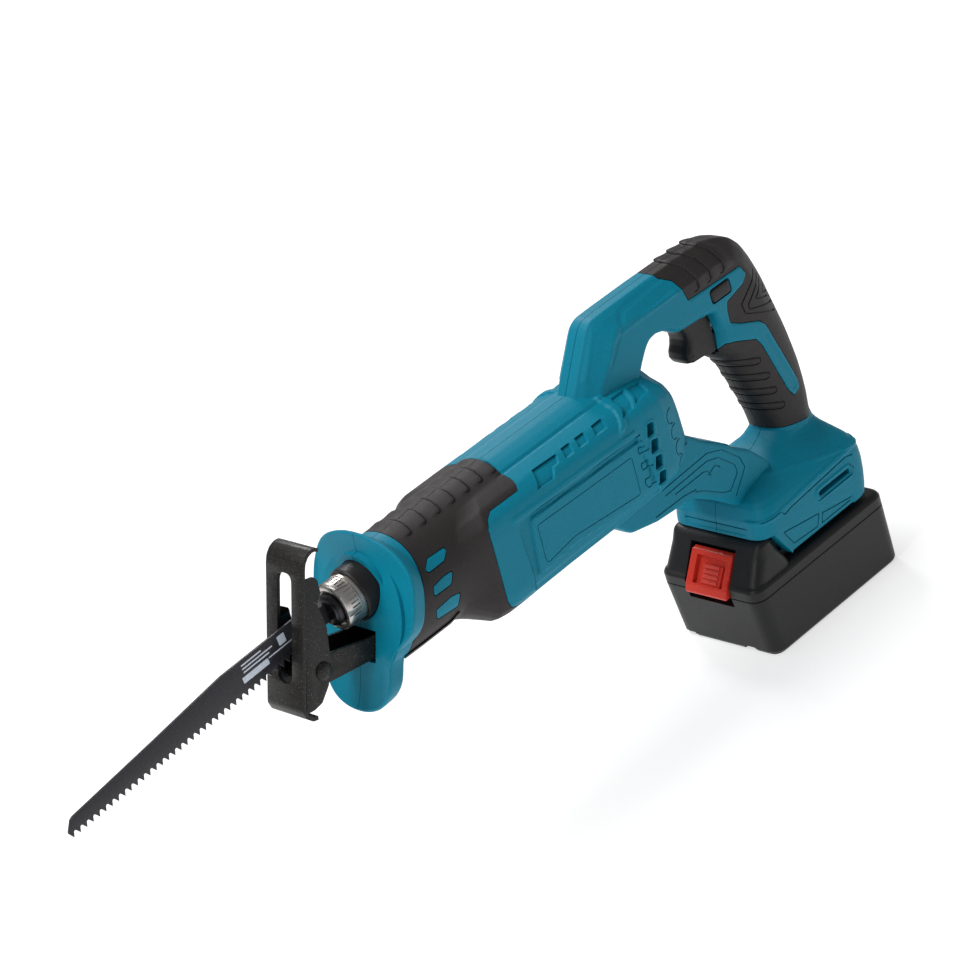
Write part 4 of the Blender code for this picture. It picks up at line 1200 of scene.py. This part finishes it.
def blade_print():
    """Raised ink: a plain block, a square and short bars in place of any wording."""
    pieces = []
    bars = [(119, 7.0, 137, 10.4), (137.6, 9.6, 160, 10.3), (146, 11.4, 151, 16.6), (121, 12.0, 139, 12.8),
            (121, 14.0, 142, 14.8), (121, 16.0, 135, 16.8)]
    for side in (-1, 1):
        for a0, b0, a1, b1 in bars:
            corners = rounded([(a0, b0), (a1, b0), (a1, b1), (a0, b1)], 0.5)
            outline = [blade_point(a, b) for a, b in corners]
            pieces.append(prism("ink", outline, *sorted((side * 0.58, side * 0.66))))
    first = pieces[0]
    first.name = "blade_print"
    join(first, *pieces[1:])
    return dress(smooth(first), BLADE_PRINT)


def shoe_look():
    """Rolled shoe plate with a round-ended slot and two side ears."""
    face = [(-335.0, 138.4), (-338.2, 139.2), (-341.2, 142.4), (-342.2, 146.9), (-314.5, 214.0),
            (-312.6, 217.6), (-309.4, 220.4), (-305.6, 221.6), (-302.6, 221.2), (-300.6, 219.4)]
    line = resample(face, 120, closed=False)
    line[1:-1] = 0.5 * line[1:-1] + 0.25 * (line[:-2] + line[2:])
    plate = 2.0
    back = line + across_of(np.gradient(line, axis=0)) * plate
    outline = np.vstack([line, back[::-1]])
    shoe = prism("shoe_look", [tuple(p) for p in outline], -14.2, 14.2)
    low = [(-316.4, 162.4), (-322.3, 151.2), (-329.5, 145.0), (-335.0, 144.2), (-340.6, 145.0), (-339, 148.5)]
    near = [(-314.8, 208.9), (-308.9, 207.4), (-307.6, 204.8), (-308.4, 197.5), (-312.5, 193.7),
            (-311.8, 179.5)]
    far = [(-322.2, 190.3), (-316.0, 189.0), (-312.6, 186.0), (-311.8, 179.5)]
    for top, y0, y1 in ((near, -14.2, -12.1), (far, 12.1, 14.2)):
        join(shoe, prism("shoe_ear", rounded(top + low, 0.8), y0, y1))
    cut(shoe, turned("collar_clearance", "X", STROKE, [(-319, 13.85), (-298, 13.85)], 128))
    slot = rounded([(-29, -5.6), (28, -5.6), (28, 5.6), (-29, 5.6)], 5.5, 8)
    cutter = tube("shoe_slot", [[(x, y, z) for z, y in slot] for x in (-9, 9)])
    cutter.data.transform(Matrix.Rotation(SHOE_RAKE, 4, "Y"))
    cutter.data.transform(Matrix.Translation(Vector(SHOE_SLOT) * MM))
    cut(shoe, cutter)
    cut(shoe, turned("shoe_pivot_hole", "Y", SHOE_PIVOT, [(-20, 3.3), (20, 3.3)], 64))
    return dress(bevelled(shoe, 0.45, 3, 40), POWDER)


def strut_look():
    """Channel-section strut that carries the shoe."""
    outline = rounded([(-327.2, 157), (-324.2, 164.0), (-318, 165.3), (-302, 161.0), (-290, 157.4),
                       (-264, 153.5), (-264, 143.5), (-290, 145.6), (-319, 150.4), (-326, 152)], 2.2)
    strut = prism("strut_look", outline, -11.5, 11.5)
    channel = [(-340, 154), (-324, 153.2), (-290, 148.2), (-255, 144.2), (-255, 175), (-340, 175)]
    cut(strut, prism("strut_channel", channel, -9.5, 9.5))
    cut(strut, turned("strut_pivot_hole", "Y", SHOE_PIVOT, [(-20, 3.3), (20, 3.3)], 64))
    return dress(bevelled(strut, 0.4, 3, 40), POWDER)


def rivet_look():
    profile = mirrored([(-16.2, 0.8), (-16.0, 2.2), (-15.5, 3.6), (-15.0, 4.5), (-14.7, 4.8), (-14.4, 4.8),
                        (-14.4, 2.9)])
    rivet = turned("rivet_look", "Y", SHOE_PIVOT, profile, 96)
    return dress(smooth(rivet, 40), POWDER)


def screw_look(number, x, z):
    """Housing screw with a six-lobed socket. Those low on the foot stand further out."""
    head = 14.5 if z > 90 else 17.0
    profile = [(4.5, 1.8), (head - 3, 1.8), (head - 3, 3.0), (head - 0.5, 3.0), (head, 2.6)]
    screw = turned(f"screw_look_{number}", "Y", (x, z), profile, 48)
    star = []
    for i in range(48):
        turn = math.tau * i / 48
        radius = 1.45 + 0.3 * math.cos(6 * turn)
        star.append((x + radius * math.cos(turn), z + radius * math.sin(turn)))
    cut(screw, prism("screw_socket", star, head - 1.6, head + 1))
    return dress(smooth(screw), BLACK_STEEL)


# Stage

CAMERA_PLACE = (-1.14164, -1.31233, 1.00116)  # metres
CAMERA_TURN = (62.1218, 16.3504, -44.6448)    # degrees about X, then Y, then Z
CAMERA_LENS, CAMERA_SENSOR = 130.37, 36.0


def studio():
    """White paper, a white surround, three lights and the camera."""
    bpy.ops.mesh.primitive_plane_add(size=30, location=(0, 0, -0.00015))
    floor = bpy.context.object
    floor.name = "floor"
    paper = material("paper", (0.5, 0.5, 0.5), 0.9)
    shader = paper.node_tree.nodes["Principled BSDF"]
    shader.inputs["Emission Color"].default_value = (1.0, 1.0, 1.0, 1.0)
    shader.inputs["Emission Strength"].default_value = 0.62
    bump(paper, noise_of(paper, 60.0, 2.0), 0.02, 0.0005)
    dress(floor, paper)

    world = bpy.data.worlds.new("studio")
    bpy.context.scene.world = world
    world.use_nodes = True
    nodes, links = world.node_tree.nodes, world.node_tree.links
    background = nodes["Background"]
    background.inputs["Color"].default_value = (1.0, 1.0, 1.0, 1.0)
    # The camera sees the surround nearly white, and the object is lit by about a quarter of that
    seen = nodes.new("ShaderNodeLightPath")
    strength = nodes.new("ShaderNodeMapRange")
    strength.inputs["To Min"].default_value, strength.inputs["To Max"].default_value = 0.26, 0.98
    links.new(seen.outputs["Is Camera Ray"], strength.inputs["Value"])
    links.new(strength.outputs["Result"], background.inputs["Strength"])

    def aimed(name, kind, place, aim, power, **settings):
        light = bpy.data.lights.new(name, kind)
        light.energy = power
        for key, value in settings.items():
            setattr(light, key, value)
        obj = bpy.data.objects.new(name, light)
        obj.location = place
        obj.rotation_euler = (Vector(aim) - Vector(place)).to_track_quat("-Z", "Y").to_euler()
        bpy.context.scene.collection.objects.link(obj)

    middle = (-0.15, 0, 0.12)
    aimed("key", "SUN", (-0.8, 0.5, 1.9), middle, 2.1, angle=math.radians(34))
    aimed("strip", "AREA", (-1.5, -0.3, 1.2), middle, 7, shape="RECTANGLE", size=0.25, size_y=1.2)
    aimed("rim", "AREA", (0.6, 1.3, 1.3), middle, 10, shape="DISK", size=0.5)
    bpy.context.scene.view_settings.view_transform = "Standard"

    camera = bpy.data.objects.new("camera", bpy.data.cameras.new("camera"))
    camera.location = CAMERA_PLACE
    camera.rotation_euler = [math.radians(angle) for angle in CAMERA_TURN]
    camera.data.sensor_width, camera.data.lens = CAMERA_SENSOR, CAMERA_LENS
    camera.data.clip_end = 100
    bpy.context.scene.collection.objects.link(camera)
    bpy.context.scene.camera = camera


INNER_LOOKS = {
    "trigger_spring": STEEL, "switch_body": BLACK, "motor_stator": COPPER, "motor_rotor": STEEL,
    "cooling_fan": BLACK, "motor_front_bearing": STEEL, "motor_rear_bearing": STEEL,
    "drive_pinion": STEEL, "crank_gear": STEEL, "crank_bearing": STEEL, "gear_case": ALUMINIUM,
    "gear_case_cover": ALUMINIUM, "gear_case_nose": ALUMINIUM, "slider_bush_front": BRONZE,
    "slider_bush_rear": BRONZE, "slider_shaft": STEEL, "yoke_roller": STEEL, "clamp_spring": STEEL,
    "blade_lock_pin": STEEL, "battery_button_spring": STEEL, "terminal_block": BLACK,
    "terminal_left": COPPER, "terminal_right": COPPER, "controller_board": BOARD,
}


def inner_parts():
    """The CAD nodes inside the tool and the battery keep their own meshes."""
    looks = INNER_LOOKS | {f"battery_cell_{number:02d}": STEEL for number in range(1, 11)}
    for name, look in looks.items():
        inner = dress(frame["nodes"][name], look)


def main():
    studio()
    inner_parts()
    casing()
    lower, upper = battery_cases()
    stand_for(lower, "battery_lower_case")
    stand_for(upper, "battery_upper_case")
    stand_for(release_button(), "battery_release_button")
    stand_for(trigger_look(), "trigger")
    stand_for(lock_off_look(), "lock_off_button")
    stand_for(collar_look(), "blade_clamp_collar")
    stand_for(clamp_core_look(), "blade_clamp_core")
    stand_for(seal_look(), "nose_seal")
    stand_for(blade_look(), "blade")
    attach(blade_print(), body_of("blade"))
    stand_for(shoe_look(), "shoe")
    stand_for(strut_look(), "shoe_strut")
    stand_for(rivet_look(), "shoe_pivot_rivet")
    for number, (x, z) in enumerate(SCREWS, 1):
        stand_for(screw_look(number, x, z), f"housing_screw_{number}")


main()
